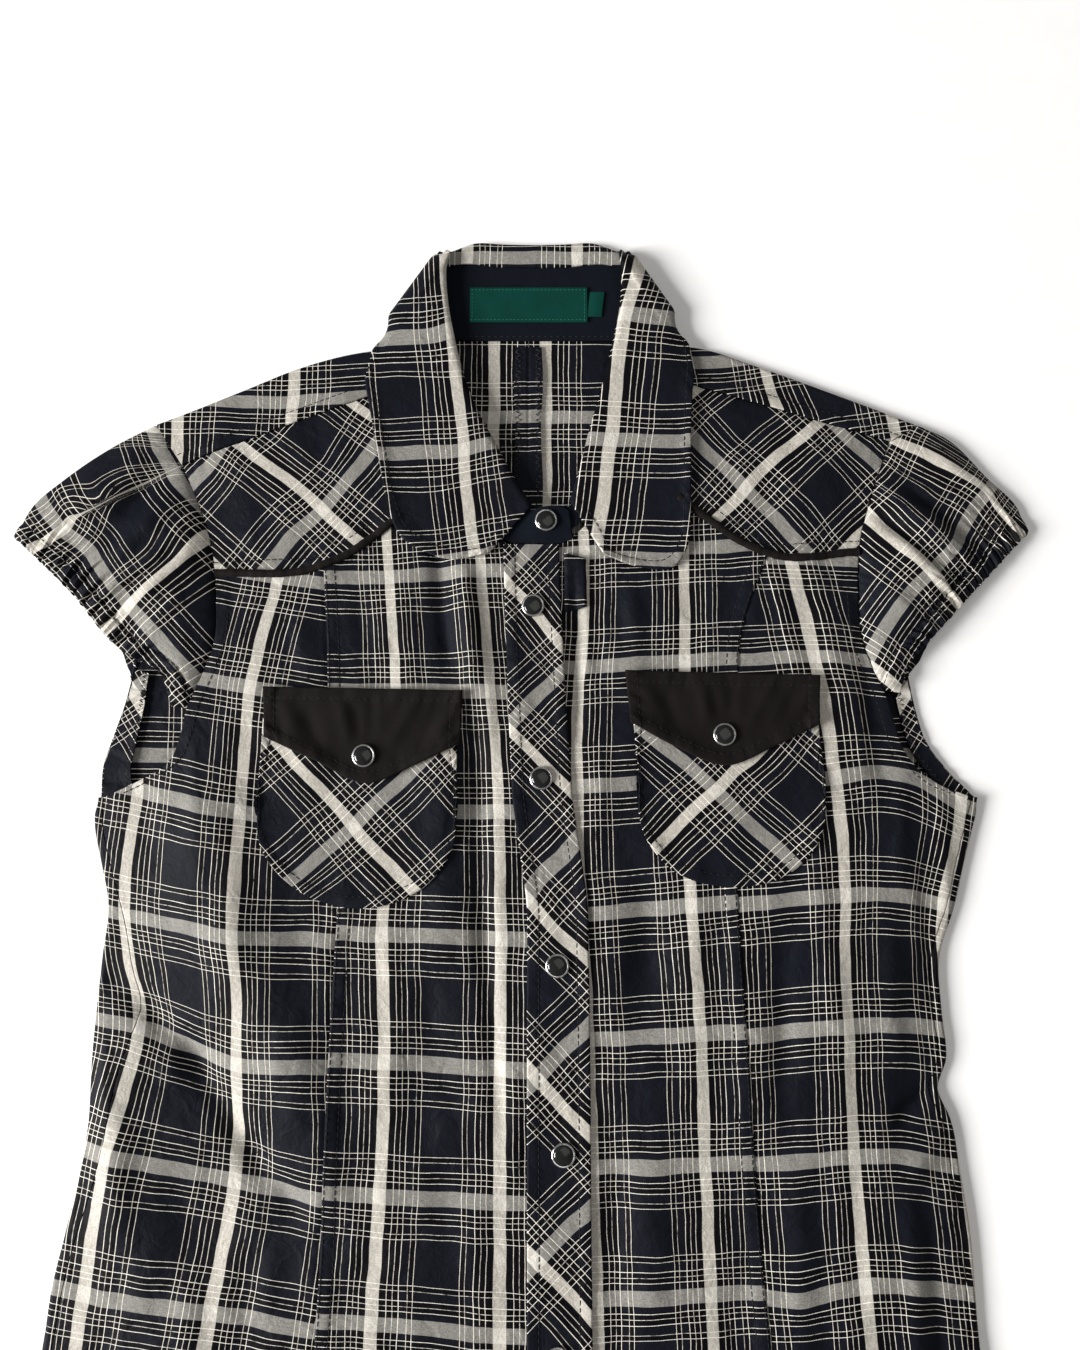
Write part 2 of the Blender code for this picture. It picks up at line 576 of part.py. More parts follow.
def centre_front_grid(side):
    """Rows up from the hem; columns from the princess seam to the front edge under the placket."""
    outward = OUTWARD[side]
    u = CENTRE_FRONT_U
    rows = []
    for k in range(len(SECTION)):
        princess_x = SECTION[k, PRINCESS_COLUMN[side]] - outward * SEAM / 2
        front_x = butt_x(SECTION[k, 0]) + outward * SEAM * 0.7
        rows.append(section_points(k, princess_x + (front_x - princess_x) * u))
    count = len(FRONT_ARMHOLE[side]) - 1
    princess = along(smooth(FRONT_PRINCESS[side]), even(count)) - np.array([outward * SEAM / 2, 0])
    princess[0] = rows[-1][0]
    neck = along(smooth(FRONT_NECK[side]), even(len(u) - 1 - YOKE_CORNER))
    top = np.vstack([yoke_edge(side)[1] - np.array([0, SEAM / 2]), neck[1:]])
    ys = np.linspace(UNDERARM_Y, neck[-1, 1], count + 1)
    front = np.column_stack([butt_x(ys) + outward * SEAM * 0.7, ys])
    front[0] = rows[-1][-1]
    top[0], top[-1] = princess[-1], front[-1]
    upper = patch(rows[-1], top, princess, front, u, even(count))
    return np.concatenate([np.array(rows), upper[1:]])


def yoke_grid(side):
    """Rows up from the lower edge; columns from the armhole to the neck."""
    side_part, centre_part = yoke_edge(side)
    bottom = np.vstack([side_part, centre_part[1:]]) + np.array([0, SEAM / 2])
    run = np.concatenate([[0.0], np.cumsum(np.linalg.norm(np.diff(bottom, axis=0), axis=1))])
    u = run / run[-1]
    v = even(5)
    top = along(smooth(YOKE_TOP[side]), u)
    armhole = along(smooth(YOKE_ARMHOLE[side]), v)
    neck = along(smooth(YOKE_NECK[side]), v)
    bottom[0], bottom[-1] = armhole[0] + np.array([0, SEAM / 2]), neck[0] + np.array([0, SEAM / 2])
    armhole[0], neck[0] = bottom[0], bottom[-1]
    top[0], top[-1] = armhole[-1], neck[-1]
    return patch(bottom, top, armhole, neck, u, v)


def body():
    """Backs, fronts, yokes and piping. Gives each side's grids, which the sleeves are joined to."""
    panels = {}
    for side in (RIGHT, LEFT):
        name = SIDE_NAME[side]
        facing = -OUTWARD[side]
        back, keep = back_grid(side)
        side_front = side_front_grid(side)
        yoke = yoke_grid(side)
        wall("back_" + name, back, "plaid", facing=facing, keep=keep)
        wall("side_front_" + name, lift(side_front), "plaid", facing=facing)
        wall("centre_front_" + name, lift(centre_front_grid(side)), "plaid", facing=facing)
        wall("front_yoke_" + name, lift(yoke), "plaid", facing=facing)
        piping(side)
        panels[side] = (back, side_front, yoke)
    return panels


def piping(side):
    """Cord piping on the yoke's lower seam, from the collar's edge to the armhole."""
    corner = np.array(FRONT_PRINCESS[side][-1], float)
    arm = np.array(FRONT_ARMHOLE[side][-1], float)
    neck = np.array(FRONT_NECK[side][0], float)
    start = corner + (neck - corner) * 0.48
    line = smooth([start, corner + (start - corner) * 0.18, corner + (arm - corner) * 0.12, arm])
    line = along(line, even(16))
    line[-1] = line[-1] - np.array([OUTWARD[side] * 0.4, 0])
    run = np.gradient(line, axis=0)
    run /= np.linalg.norm(run, axis=1)[:, None]
    across = np.column_stack([-run[:, 1], run[:, 0]])
    turns = np.radians(PIPING_TURNS)
    points, faces = [], []
    for p, a in zip(line, across):
        spread = p[None] + a[None] * np.array([[-1.0], [0.0], [1.0]]) * PIPING_WIDTH / 2
        base = float(np.max(top_height(spread[:, 0], spread[:, 1]))) + SEAM + 0.1
        for turn in turns:
            xy = p + a * math.cos(turn) * PIPING_WIDTH / 2
            points.append((*xy, base + PIPING_HEIGHT / 2 * (1 + math.sin(turn))))
    sides = len(turns)
    for k in range(len(line) - 1):
        for n in range(sides):
            m = (n + 1) % sides
            faces.append((k * sides + n, k * sides + m, (k + 1) * sides + m, (k + 1) * sides + n))
    faces.append(tuple(range(sides))[::-1])
    faces.append(tuple((len(line) - 1) * sides + n for n in range(sides)))
    add_object("piping_" + SIDE_NAME[side], points, faces, "black_twill")


def placket():
    """The band down the front edge, and the end of the band under it."""
    rows = []
    for k in range(len(SECTION)):
        edges = SECTION[k, list(PLACKET_COLUMNS)]
        rows.append(section_points(k, np.linspace(edges[0], edges[1], PLACKET_COLUMNS_ACROSS)))
    low = SECTION[-1, list(PLACKET_COLUMNS)]
    (left_x, top_y), (right_x, _) = PLACKET_TOP
    for part in even(PLACKET_UPPER_ROWS)[1:]:
        bow = (1 - part) ** 1.3
        left = left_x + (low[0] - left_x) * bow
        right = right_x + (low[1] - right_x) * bow
        y = UNDERARM_Y + (top_y - UNDERARM_Y) * part
        xs = np.linspace(left, right, PLACKET_COLUMNS_ACROSS)
        rows.append(np.column_stack([xs, np.full(len(xs), y)]))
    wall("placket", lift(np.array(rows), LAYER), "plaid")
    outer, inner = (along(edge, even(3)) for edge in UNDERLAP_END)
    end = patch([outer[0], inner[0]], [outer[-1], inner[-1]], outer, inner)
    wall("underlap_end", lift(end, LAYER), "plaid")


# ---------------------------------------------------------------- collar

def ring_rows():
    """The ring's rulings: roll, outer edge and neck seam in the plane, turn and sideways direction."""
    rows = []
    for side in (RIGHT, LEFT):
        part = [dict(roll=np.array(r[0:2], float), edge=np.array(r[2:4], float), seam=np.array(r[4:6], float),
                     turn=math.radians(90), out=np.zeros(2))
                for r in NECK_FRONT[side]]
        roll = np.array(NECK_SIDE[side][0:2], float)
        edge = np.array(NECK_SIDE[side][2:4], float)
        seam = np.array(NECK_SIDE[side][4:6], float)
        run = (edge - roll) / np.linalg.norm(edge - roll)
        out = np.array([run[1], -run[0]]) if side == RIGHT else np.array([-run[1], run[0]])
        for turn in NECK_SIDE_TURNS:
            part.append(dict(roll=roll - out * RING_FOLD, edge=edge - out * RING_FOLD, seam=seam,
                             turn=math.radians(turn), out=out))
        rows.append(part)
    back = [dict(roll=np.array(r[0:2], float), edge=np.array(r[2:4], float), seam=np.array(r[4:6], float),
                 turn=math.radians(-90), out=np.zeros(2)) for r in NECK_BACK]
    return rows[RIGHT] + back + rows[LEFT][::-1]


def stand_front_height(row, part):
    """Outer face of the stand's front half, this part of the way from its upper edge to the neck seam."""
    seam_height = max(float(top_height(*row["seam"])), STAND_SEAM_LOWEST)
    return RING_FOLD + STAND_FACE + (seam_height - RING_FOLD - STAND_FACE) * part**2


def collar():
    """The collar's sheet, from the edge inside the neck, over the roll, to its outer edge."""
    grid = []
    for row in ring_rows():
        run = row["edge"] - row["roll"]
        length = np.linalg.norm(run)
        run = run / length
        faces_up = math.sin(row["turn"]) > 0.99
        line = []

        def add(along_run, rho):
            """A point this far along the ruling, and this far from the ring's middle plane."""
            xy = row["roll"] + run * along_run + row["out"] * rho * math.cos(row["turn"])
            line.append((xy[0], xy[1], RING_FOLD + rho * math.sin(row["turn"])))

        add(STRIP, RING_FOLD - 2 * ROLL)
        for turn in np.radians([-90, -45, 0, 45, 90]):
            add(ROLL - ROLL * math.cos(turn), RING_FOLD - ROLL + ROLL * math.sin(turn))
        edge_height = float(top_height(*row["edge"])) + LAYER + 0.2
        seam_reach = float(np.dot(row["seam"] - row["roll"], run))
        for part in SHEET_PARTS:
            reach = ROLL + (length - ROLL) * part
            add(reach, RING_FOLD)
            if faces_up:
                x, y, z = line[-1]
                low = float(top_height(x, y)) + LAYER
                if reach < seam_reach + 4.0:
                    stand_part = np.clip((reach - STAND_IN_ROLL) / (seam_reach - STAND_IN_ROLL), 0, 1)
                    low = max(low, stand_front_height(row, stand_part) + CLOTH + STAND_CLEAR)
                line[-1] = (x, y, max(z + (edge_height - z) * part**1.5, low))
        grid.append(line)
    wall("collar", np.array(grid), "plaid", facing=-1.0)


def stand_end_rows(side):
    """The stand's end past the collar, where one end lies over the other."""
    rows = []
    for ux, uy, lx, ly, raise_by in STAND_ENDS[side]:
        height = RING_FOLD + STAND_FACE + raise_by
        rows.append([(ux + (lx - ux) * part, uy + (ly - uy) * part, height) for part in STAND_PARTS])
    return rows


def collar_stand():
    """The stand, from its end at the wearer's right round the neck to its other end."""
    grid = []
    rows = ring_rows()
    for number, row in enumerate(rows):
        run = (row["edge"] - row["roll"]) / np.linalg.norm(row["edge"] - row["roll"])
        at_end = number in (0, len(rows) - 1)
        upper = row["roll"] + run * (STAND_IN_ROLL_END if at_end else STAND_IN_ROLL)
        seam_reach = float(np.dot(row["seam"] - row["roll"], run))
        under_strip = row["roll"] + run * min(STRIP + 2.0, 0.6 * seam_reach)
        line = []
        for part in STAND_PARTS:
            if part < STAND_PARTS[1]:
                xy = upper
            else:
                past = (part - STAND_PARTS[1]) / (1 - STAND_PARTS[1])
                xy = under_strip + (row["seam"] - under_strip) * past
            xy = xy + row["out"] * STAND_FACE * math.cos(row["turn"])
            z = RING_FOLD + STAND_FACE * math.sin(row["turn"])
            if math.sin(row["turn"]) > 0.99:
                z = stand_front_height(row, part)
            line.append((xy[0], xy[1], z))
        grid.append(line)
    grid = stand_end_rows(RIGHT) + grid + stand_end_rows(LEFT)[::-1]
    wall("collar_stand", np.array(grid), "navy_cotton", facing=-1.0)


def neck_label():
    """The bare woven label on the stand."""
    x0, y0, x1, y1 = LABEL_CORNERS
    height = RING_FOLD - STAND_FACE + CLOTH + SEAM + LABEL
    grid = np.array([[(x, y, height) for x in (x0, x1)] for y in (y0, y1)])
    wall("neck_label", grid, "green_label", thickness=LABEL)


def centre_back_seam():
    """The pressed seam allowance inside the back, down from the neck."""
    height = CLOTH + SEAM + BACK_SEAM
    xs = (CENTRE_BACK_X - BACK_SEAM_HALF, CENTRE_BACK_X, CENTRE_BACK_X + BACK_SEAM_HALF)
    grid = np.array([[(x, y, height) for x in xs] for y in BACK_SEAM_Y])
    wall("centre_back_seam", grid, "plaid", thickness=BACK_SEAM)


# ---------------------------------------------------------------- sleeves

SLEEVE_U = np.array([0, 0.14, 0.38, 0.66, 0.87, 1.0])
SLEEVE_TURNS = np.radians([45, 0, -45])


def gathers(v, waves):
    """Height of the hem's gathers, from -1 to 1, at these fractions of the hem."""
    return np.cos(2 * math.pi * waves * v)[:, None]


def gather_share(v, fade):
    """How much of the gathers shows: all at the hem, none at the armhole and at the hem's ends."""
    up = np.clip((SLEEVE_U - GATHER_START) / (1 - GATHER_START), 0, 1) ** 1.2
    return up[None] * np.sin(math.pi * v)[:, None] ** fade


def sleeve_fold(side):
    """Points of the outer fold's middle line in the plane, and its outward direction."""
    line = along(smooth(SLEEVE_FOLD[side]), SLEEVE_U)
    run = np.gradient(line, axis=0)
    out = np.column_stack([-run[:, 1], run[:, 0]]) * OUTWARD[side]
    out /= np.linalg.norm(out, axis=1)[:, None]
    return line - out * FOLD, out


def armhole_edges(side, panels):
    """The sleeve's seam on the front, round the shoulder fold, and on the back."""
    back, side_front, yoke = panels
    clear = np.array([OUTWARD[side] * SLEEVE_CLEAR[0], SLEEVE_CLEAR[1], 0.0])
    corner = len(FLOOR_U) - 1
    first_turn = len(SECTION) + UPPER_ROWS
    last_turn = first_turn + len(ARC_TURNS) - 1
    front = lift(side_front[len(SECTION) - 1 + SLEEVE_END_ROW:, :1])[:, 0]
    upper = lift(yoke[:, :1])[:, 0]
    strip = back[last_turn:, corner][::-1]
    around = back[first_turn:last_turn, corner][::-1]
    under = back[len(SECTION) - 1:first_turn, corner][::-1]
    under = under[under[:, 1] > SLEEVE_UNDER_LOWEST]
    return np.vstack([front, upper, strip]) + clear, around + clear, under + clear


def sleeve_top(side, seam_line, fold_line):
    """Rows from the front's low end to the fold, each from the armhole to the hem."""
    u, v = SLEEVE_U, even(TOP_GATHERS * GATHER_STEPS)
    seam = along(seam_line, v)
    hem = along(smooth(SLEEVE_HEM[side]), v)
    fold_line = fold_line.copy()
    fold_line[0], fold_line[-1] = seam[-1, :2], hem[-1]
    low_end = seam[0, :2] + (hem[0] - seam[0, :2]) * u[:, None]
    xy = patch(low_end, fold_line, seam[:, :2], hem, u, v)
    bow = np.sin(math.pi * v)
    hem_z = 2 * FOLD + HEM_LOFT * bow**0.7 + (seam[0, 2] - 2 * FOLD) * (1 - v) ** 2
    swell = bow[:, None] ** 0.8 * np.sin(math.pi * u**0.8)[None]
    z = seam[:, 2][:, None] * (1 - u) + hem_z[:, None] * u + PUFF * swell
    z = z + swell**0.5 * drape(SLEEVE_DRAPE[side], xy[..., 0], xy[..., 1])
    z = z + GATHER_HEIGHT * gather_share(v, 0.3) * gathers(v, TOP_GATHERS)
    z[-1] = 2 * FOLD
    return np.dstack([xy, z]), fold_line


def sleeve_under(side, seam_line, fold_line):
    """Rows from the fold to the back's low end, flat on the surface but for the hem's gathers."""
    u, v = SLEEVE_U, even(UNDER_GATHERS * UNDER_GATHER_STEPS)
    seam = along(seam_line[:, :2], v)
    hem = along(smooth(SLEEVE_UNDER_HEM[side]), v)
    fold_line = fold_line.copy()
    fold_line[0], fold_line[-1] = seam[0], hem[0]
    low_end = seam[-1] + (hem[-1] - seam[-1]) * u[:, None]
    xy = patch(fold_line, low_end, seam, hem, u, v)
    z = UNDER_GATHER_HEIGHT * gather_share(v, 0.8) * (0.5 - 0.5 * gathers(v, UNDER_GATHERS))
    return np.dstack([xy, z])


def sleeve(side, panels):
    """Rows from the front's low end, over the top, round the fold and under to the back's low end."""
    over, around, under = armhole_edges(side, panels)
    fold_line, out = sleeve_fold(side)
    top, fold_line = sleeve_top(side, over, fold_line)
    fold_rows = []
    for turn, seam_point in zip(SLEEVE_TURNS, around):
        line = fold_line + out * FOLD * math.cos(turn)
        row = np.column_stack([line, np.full(len(line), FOLD + FOLD * math.sin(turn))])
        row[0] = seam_point
        fold_rows.append(row)
    grid = np.concatenate([top, np.array(fold_rows), sleeve_under(side, under, fold_line)])
    wall("sleeve_" + SIDE_NAME[side], grid, "plaid", facing=OUTWARD[side])


# ---------------------------------------------------------------- pockets and snaps

def laid_on(name, lower_edge, top, steps, layers, slot):
    """A panel laid on the front, between its lower edge and its straight top."""
    u, v = even(steps[0]), even(steps[1])
    lower, upper = along(smooth(lower_edge), u), along(top, u)
    left, right = along([lower[0], upper[0]], v), along([lower[-1], upper[-1]], v)
    wall(name, lift(patch(lower, upper, left, right, u, v), layers * LAYER), slot)


def pockets():
    for side in (RIGHT, LEFT):
        cut = POCKETS[side]
        laid_on("pocket_" + SIDE_NAME[side], cut["bag"], cut["bag_top"], BAG_STEPS, 1, "plaid")
        laid_on("pocket_flap_" + SIDE_NAME[side], cut["flap"], cut["flap_top"], FLAP_STEPS, 2, "black_twill")


def snaps():
    turns = 2 * math.pi * even(SNAP_SIDES)[1:]
    for name, x, y, seat in SNAPS:
        rim_x = np.append(x + SNAP_RADIUS * np.cos(turns), x)
        rim_y = np.append(y + SNAP_RADIUS * np.sin(turns), y)
        highest = float(np.max(top_height(rim_x, rim_y)))
        stand = RING_FOLD + STAND_FACE + STAND_ENDS[RIGHT][0][4]
        base = {"stand": stand, "placket": highest + LAYER, "flap": highest + 2 * LAYER}[seat]
        turned(name, SNAP_PROFILE, (x, y, base + SEAM + 0.05), "snap_cap")


def clear_scene():
    for item in list(bpy.data.objects):
        bpy.data.objects.remove(item, do_unlink=True)


def main():
    clear_scene()
    panels = body()
    placket()
    collar()
    collar_stand()
    neck_label()
    centre_back_seam()
    for side in (RIGHT, LEFT):
        sleeve(side, panels[side])
    pockets()
    snaps()


main()
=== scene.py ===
"""Looks of a cap-sleeve western-style plaid shirt with snaps, laid out flat with its front up.

Tables and sizes are in millimetres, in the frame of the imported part: +Z up from the surface, +Y towards
the collar, the wearer's right at -X. Each piece of cloth is a thin closed shell on the form of its
solid, with its own grain: a UV map that counts repeats of the plaid along both threads.
"""

import math

import bpy
import numpy as np
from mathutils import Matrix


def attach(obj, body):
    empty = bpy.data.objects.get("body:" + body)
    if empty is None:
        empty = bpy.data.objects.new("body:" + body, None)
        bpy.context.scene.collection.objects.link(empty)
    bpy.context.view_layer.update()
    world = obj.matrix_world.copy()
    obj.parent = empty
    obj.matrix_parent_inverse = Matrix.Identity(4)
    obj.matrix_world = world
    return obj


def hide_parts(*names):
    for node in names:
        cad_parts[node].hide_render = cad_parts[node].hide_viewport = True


bl_info = {
    "name": "Plaid Snap Shirt",
    "version": (1, 0, 0),
    "blender": (4, 5, 0),
    "location": "View3D > Sidebar > Shirt",
    "description": "Makes the cloth, sewing, snaps and labels of a laid-out western-style shirt",
    "category": "Object",
}

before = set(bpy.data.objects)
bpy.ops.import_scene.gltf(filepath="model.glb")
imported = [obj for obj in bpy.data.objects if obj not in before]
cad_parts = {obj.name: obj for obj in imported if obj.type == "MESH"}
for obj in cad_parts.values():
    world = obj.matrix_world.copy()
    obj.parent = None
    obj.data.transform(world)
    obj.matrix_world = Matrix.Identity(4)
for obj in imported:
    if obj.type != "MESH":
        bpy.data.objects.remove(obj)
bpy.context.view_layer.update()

MM = 0.001

# Camera of the photograph: its place in metres, its tilt, and its focal length in the photograph's pixels
CAMERA_PLACE = (0.010, 0.007, 0.5694)
CAMERA_TILT = 8.0
PHOTO_SIZE = (1080, 1350)
FOCAL = 1150.0
SENSOR = 36.0

# Cloth
CLOTH = 1.2
SEAM = 0.3
FOLD = 2.2                # outer radius of the folds at the sides and shoulders
LAYER = 1.75              # from one laid-on piece's outer face to the next
PIPING_WIDTH = 4.0
PIPING_HEIGHT = 2.2
PIPING_SIDES = 12

# Collar and stand: the ring round the neck, pressed flat
RING_FOLD = 4.8           # outer face of the collar to the ring's middle plane
ROLL = 2.1                # radius of the collar's roll
STRIP = 13.5              # collar seen inside the neck, above the stand
STAND_FACE = 3.3          # outer face of the stand to the ring's middle plane
STAND_IN_ROLL = 4.0       # from the roll to the stand's upper edge
STAND_IN_ROLL_END = 2.8   # the same at the collar's front ends
SHEET_PARTS = (0.1, 0.3, 0.55, 0.8, 1.0)      # collar's rows, from the roll to its outer edge
STAND_PARTS = (0.0, 0.14, 0.4, 0.7, 1.0)      # stand's rows, from its upper edge to the neck seam
STAND_SEAM_LOWEST = 5.8   # outer face of the stand at the front neck seam, at least
STAND_CLEAR = 0.5         # collar's inner face to the stand
FACES_UP = 0.99           # sine of the turn from which a ruling counts as facing up

# Height of the top layer
EDGE_REACH = 26.0         # how far in from a fold the cloth takes to rise
RISE_POWER = 1.6          # how softly the rise starts
FINE_REACH = 8.0          # how far in its small unevenness takes to grow
LOFT_Y = (-313, -220, -60, 60, 150, 320)
LOFT_MM = (3.6, 5.0, 6.2, 5.2, 3.7, 3.7)

# Labels and the seam inside the back
LABEL = 0.8
LABEL_CORNERS = (-26.5, 271.5, 34.5, 290.5)
TAB_CORNERS = (36.0, 274.5, 43.5, 288.0)
BACK_SEAM = 1.0
BACK_SEAM_HALF = 7.0
BACK_SEAM_Y = (110.0, 258.5)

# Sleeves
PUFF = 6.0
HEM_LOFT = 2.2            # the hem's middle above its ends
TOP_GATHERS = 18
UNDER_GATHERS = 14
GATHER_HEIGHT = 1.17
FINE_GATHERS = 33         # smaller ones between them, and their height
FINE_GATHER = 0.9
UNDER_GATHER_HEIGHT = 0.72
UNDER_GATHER_START = 0.5  # they start this part of the way to the hem
SLEEVE_TUCK = 0.6         # the sleeve's edge lies this far in under the armhole

RIGHT, LEFT = 0, 1        # the wearer's sides, as columns of the tables
OUTWARD = (-1.0, 1.0)     # along X
SIDE_NAME = ("right", "left")

# The body, section by section up from the hem:
# y, right side: fold, side seam, princess seam; placket's two edges; left side: princess, side seam, fold
SECTIONS = np.array([
    (-313, -222.0, -217.5, -94.0, 4.2, 34.0, 117.0, 210.5, 215.0),
    (-285, -222.0, -217.5, -93.5, 4.2, 34.0, 116.5, 210.5, 215.0),
    (-255, -221.0, -216.5, -93.0, 4.1, 33.9, 115.5, 209.5, 214.0),
    (-225, -218.0, -213.0, -92.0, 4.0, 33.8, 114.5, 207.5, 212.0),
    (-200, -216.0, -210.5, -91.0, 4.0, 33.8, 112.5, 207.0, 211.5),
    (-175, -211.0, -205.0, -90.3, 4.0, 33.7, 111.0, 206.0, 210.5),
    (-150, -206.0, -197.5, -89.7, 3.9, 33.6, 109.5, 203.0, 207.5),
    (-124, -203.0, -192.0, -89.2, 3.9, 33.6, 108.3, 199.0, 203.5),
    (-111, -203.0, -190.0, -89.0, 3.9, 33.6, 107.8, 194.0, 198.5),
    (-98, -203.0, -187.5, -88.7, 3.9, 33.5, 107.3, 198.5, 203.0),
    (-75, -202.0, -181.0, -88.0, 3.8, 33.4, 106.2, 197.5, 202.0),
    (-50, -200.5, -186.0, -87.2, 3.8, 33.0, 105.0, 197.8, 202.3),
    (-25, -199.0, -192.5, -86.4, 3.6, 32.6, 104.2, 206.5, 211.0),
    (-5, -203.5, -198.8, -86.8, 1.0, 30.0, 104.0, 212.0, 216.5),
    (12, -207.5, -203.0, -87.8, -1.5, 27.5, 104.4, 217.0, 221.5),
    (26, -208.0, -203.6, -89.0, -3.5, 25.5, 104.8, 221.4, 226.0),
], float)
FOLD_COLUMN, SEAM_COLUMN, PRINCESS_COLUMN = (1, 8), (2, 7), (3, 6)
PLACKET_COLUMNS = (4, 5)
UNDERARM_Y = SECTIONS[-1, 0]
HEM_RISE = 30.0           # the shirt-tail hem is this much higher at the sides
HEM_POWER = 2.4           # how late its curve rises
HEM_ROWS_TOP = -200.0     # the hem's curve has died out at this height

# Curves above the underarm, each up from its lower end: x, y
FRONT_ARMHOLE = [
    [(-203.6, 26), (-188, 33), (-170.5, 44), (-166, 56.5), (-164, 68), (-157, 86), (-151.5, 104),
     (-151.5, 121), (-152.5, 137.3)],
    [(221.4, 26), (204, 33), (189, 48), (184.5, 63), (181, 76), (174.5, 91), (170, 106),
     (169.3, 127), (170, 148.7)],
]
BACK_ARMHOLE = [
    [(-205.8, 26), (-205.5, 42), (-202, 54), (-197, 70), (-192, 91), (-184, 112), (-177, 138),
     (-175, 162), (-178, 190), (-185.6, 214.4)],
    [(223.8, 26), (209, 42), (201, 54), (196.5, 70), (193, 91), (189, 115), (186.5, 140),
     (187, 165), (192, 190), (201.1, 214.4)],
]
SLEEVE_END_ROW = 4        # the sleeve starts at this point of the front armhole
SLEEVE_UNDER_LOWEST = 83.0    # the sleeve's underside starts at the back armhole's first point above this
FRONT_PRINCESS = [
    [(-89, 26), (-93, 66), (-95, 104), (-97.5, 139.6)],
    [(104.8, 26), (106, 66), (110, 110), (123, 145.7)],
]
SHOULDER = [
    [(-63, 256.8), (-80, 255.6), (-112, 247.5), (-143, 234.5), (-175, 221), (-186.5, 216.5)],
    [(73, 259.0), (91, 257.8), (121, 248), (158, 234), (191, 221), (202, 216.5)],
]
BACK_NECK = [
    [(4, 263.3), (-24, 263.2), (-48, 261.5), (-63, 256.8)],
    [(4, 263.3), (32, 263.2), (58, 262.5), (73, 259.0)],
]
YOKE_TOP = [
    [(-172.3, 194.3), (-125, 212.5), (-76, 231), (-54.5, 239)],
    [(188.6, 206.8), (138, 221.8), (87, 237), (68, 242.6)],
]
YOKE_ARMHOLE = [
    [(-152.5, 137.3), (-155, 150), (-162, 171), (-172.3, 194.3)],
    [(170, 148.7), (173, 162), (180, 184), (188.6, 206.8)],
]
YOKE_NECK = [
    [(-34, 186), (-41, 201), (-48, 220), (-54.5, 239)],
    [(53, 195.5), (60, 212), (65, 228), (68, 242.6)],
]
FRONT_NECK = [
    [(-34, 186), (-25, 169), (-15, 157.5), (-4.8, 151.8)],
    [(53, 195.5), (43, 177), (32, 161), (20, 152.3), (-4.4, 151.8)],
]
PLACKET_TOP = ((-8.2, 151.5), (19.5, 151.5))
PLACKET_BOW = 1.3         # how its edges curve above the underarm
BUTT = 3.5                # from the placket's edge to where the two fronts meet under it
BUTT_GAP = 0.21           # from there to each front's edge
LAP_OVER = 0.45           # the centre fronts lie this far over the side fronts
# End of the under front's band, beside the placket at the neck: outer and inner edge, upwards
UNDERLAP_END = [[(22.3, 117), (22.0, 147)], [(33.5, 120), (33, 144.5)]]

# The collar ring from the wearer's right front end to the side:
# roll x, y; collar's outer edge x, y; neck seam x, y
NECK_FRONT = [
    [(6.3, 172, -15, 147, -4, 153), (-3, 187, -33, 143.6, -15.5, 160),
     (-12, 204, -50, 148.5, -25, 171.5), (-19, 217, -60.5, 156.5, -31.8, 184),
     (-25, 230, -66, 170, -37.8, 196.5), (-30, 245, -69.5, 186, -43.6, 211),
     (-34, 262, -73, 205, -48.6, 225.5), (-37.3, 280, -77, 225, -52.7, 238),
     (-38.6, 297, -79.5, 243, -57, 248)],
    [(25, 174, 42, 145.5, 22.5, 157), (28.5, 187, 60, 139.5, 32, 166),
     (32, 200, 75, 139, 41.2, 176.5), (35.5, 214, 83.5, 150, 48.6, 190),
     (40, 229, 85.5, 170, 54.7, 203), (44, 245, 86, 190, 59.5, 215.5),
     (48, 262, 86.5, 210, 62.6, 226), (51.3, 280, 87.5, 230, 65, 237),
     (52.3, 297, 89, 246, 67.6, 247)],
]
NECK_SIDE = [
    (-42, 313.6, -78.5, 260, -60.5, 257),
    (56, 313.6, 89.5, 262.5, 70.5, 258.5),
]
NECK_SIDE_TURNS = (90, 45, 0, -45, -90)
NECK_BACK = [
    (-24, 315.6, -50, 264.2, -45, 261.6), (-9, 315.2, -15, 264.2, -18, 262),
    (7, 314.9, 8, 264.2, 7, 262), (22, 315.2, 30, 264.2, 32, 262), (38, 315.6, 62, 264.6, 58, 261.8),
]
# Ends of the stand past the collar: upper edge x, y; lower edge x, y; lift over the other end
STAND_ENDS = [
    [(24.8, 168.5, 26.5, 155, 1.55), (20.5, 171, 21, 152.6, 1.55), (11, 171, 9, 152.4, 1.55)],
    [(12.5, 170, 12.5, 155.5, -0.25), (18, 172, 16, 153.9, -0.1)],
]

# Sleeves: hem and outer fold, from the front's low end and from the shoulder: x, y
SLEEVE_HEM = [
    [(-171, 70.5), (-177, 86.5), (-195, 96.5), (-225, 128.5), (-253, 154.5)],
    [(188, 77.5), (193, 92), (199, 98.5), (228, 129.5), (254.5, 157)],
]
SLEEVE_UNDER_HEM = [
    [(-253, 154.5), (-229, 134), (-207, 112), (-197, 94.5)],
    [(254.5, 157), (232, 134), (210, 112), (199.5, 93.5)],
]
SLEEVE_FOLD = [
    [(-186.5, 216.5), (-210, 203.5), (-232, 187.5), (-248, 172.5), (-255.5, 157)],
    [(202, 216.5), (218, 209), (238, 188), (252, 173), (257, 160)],
]

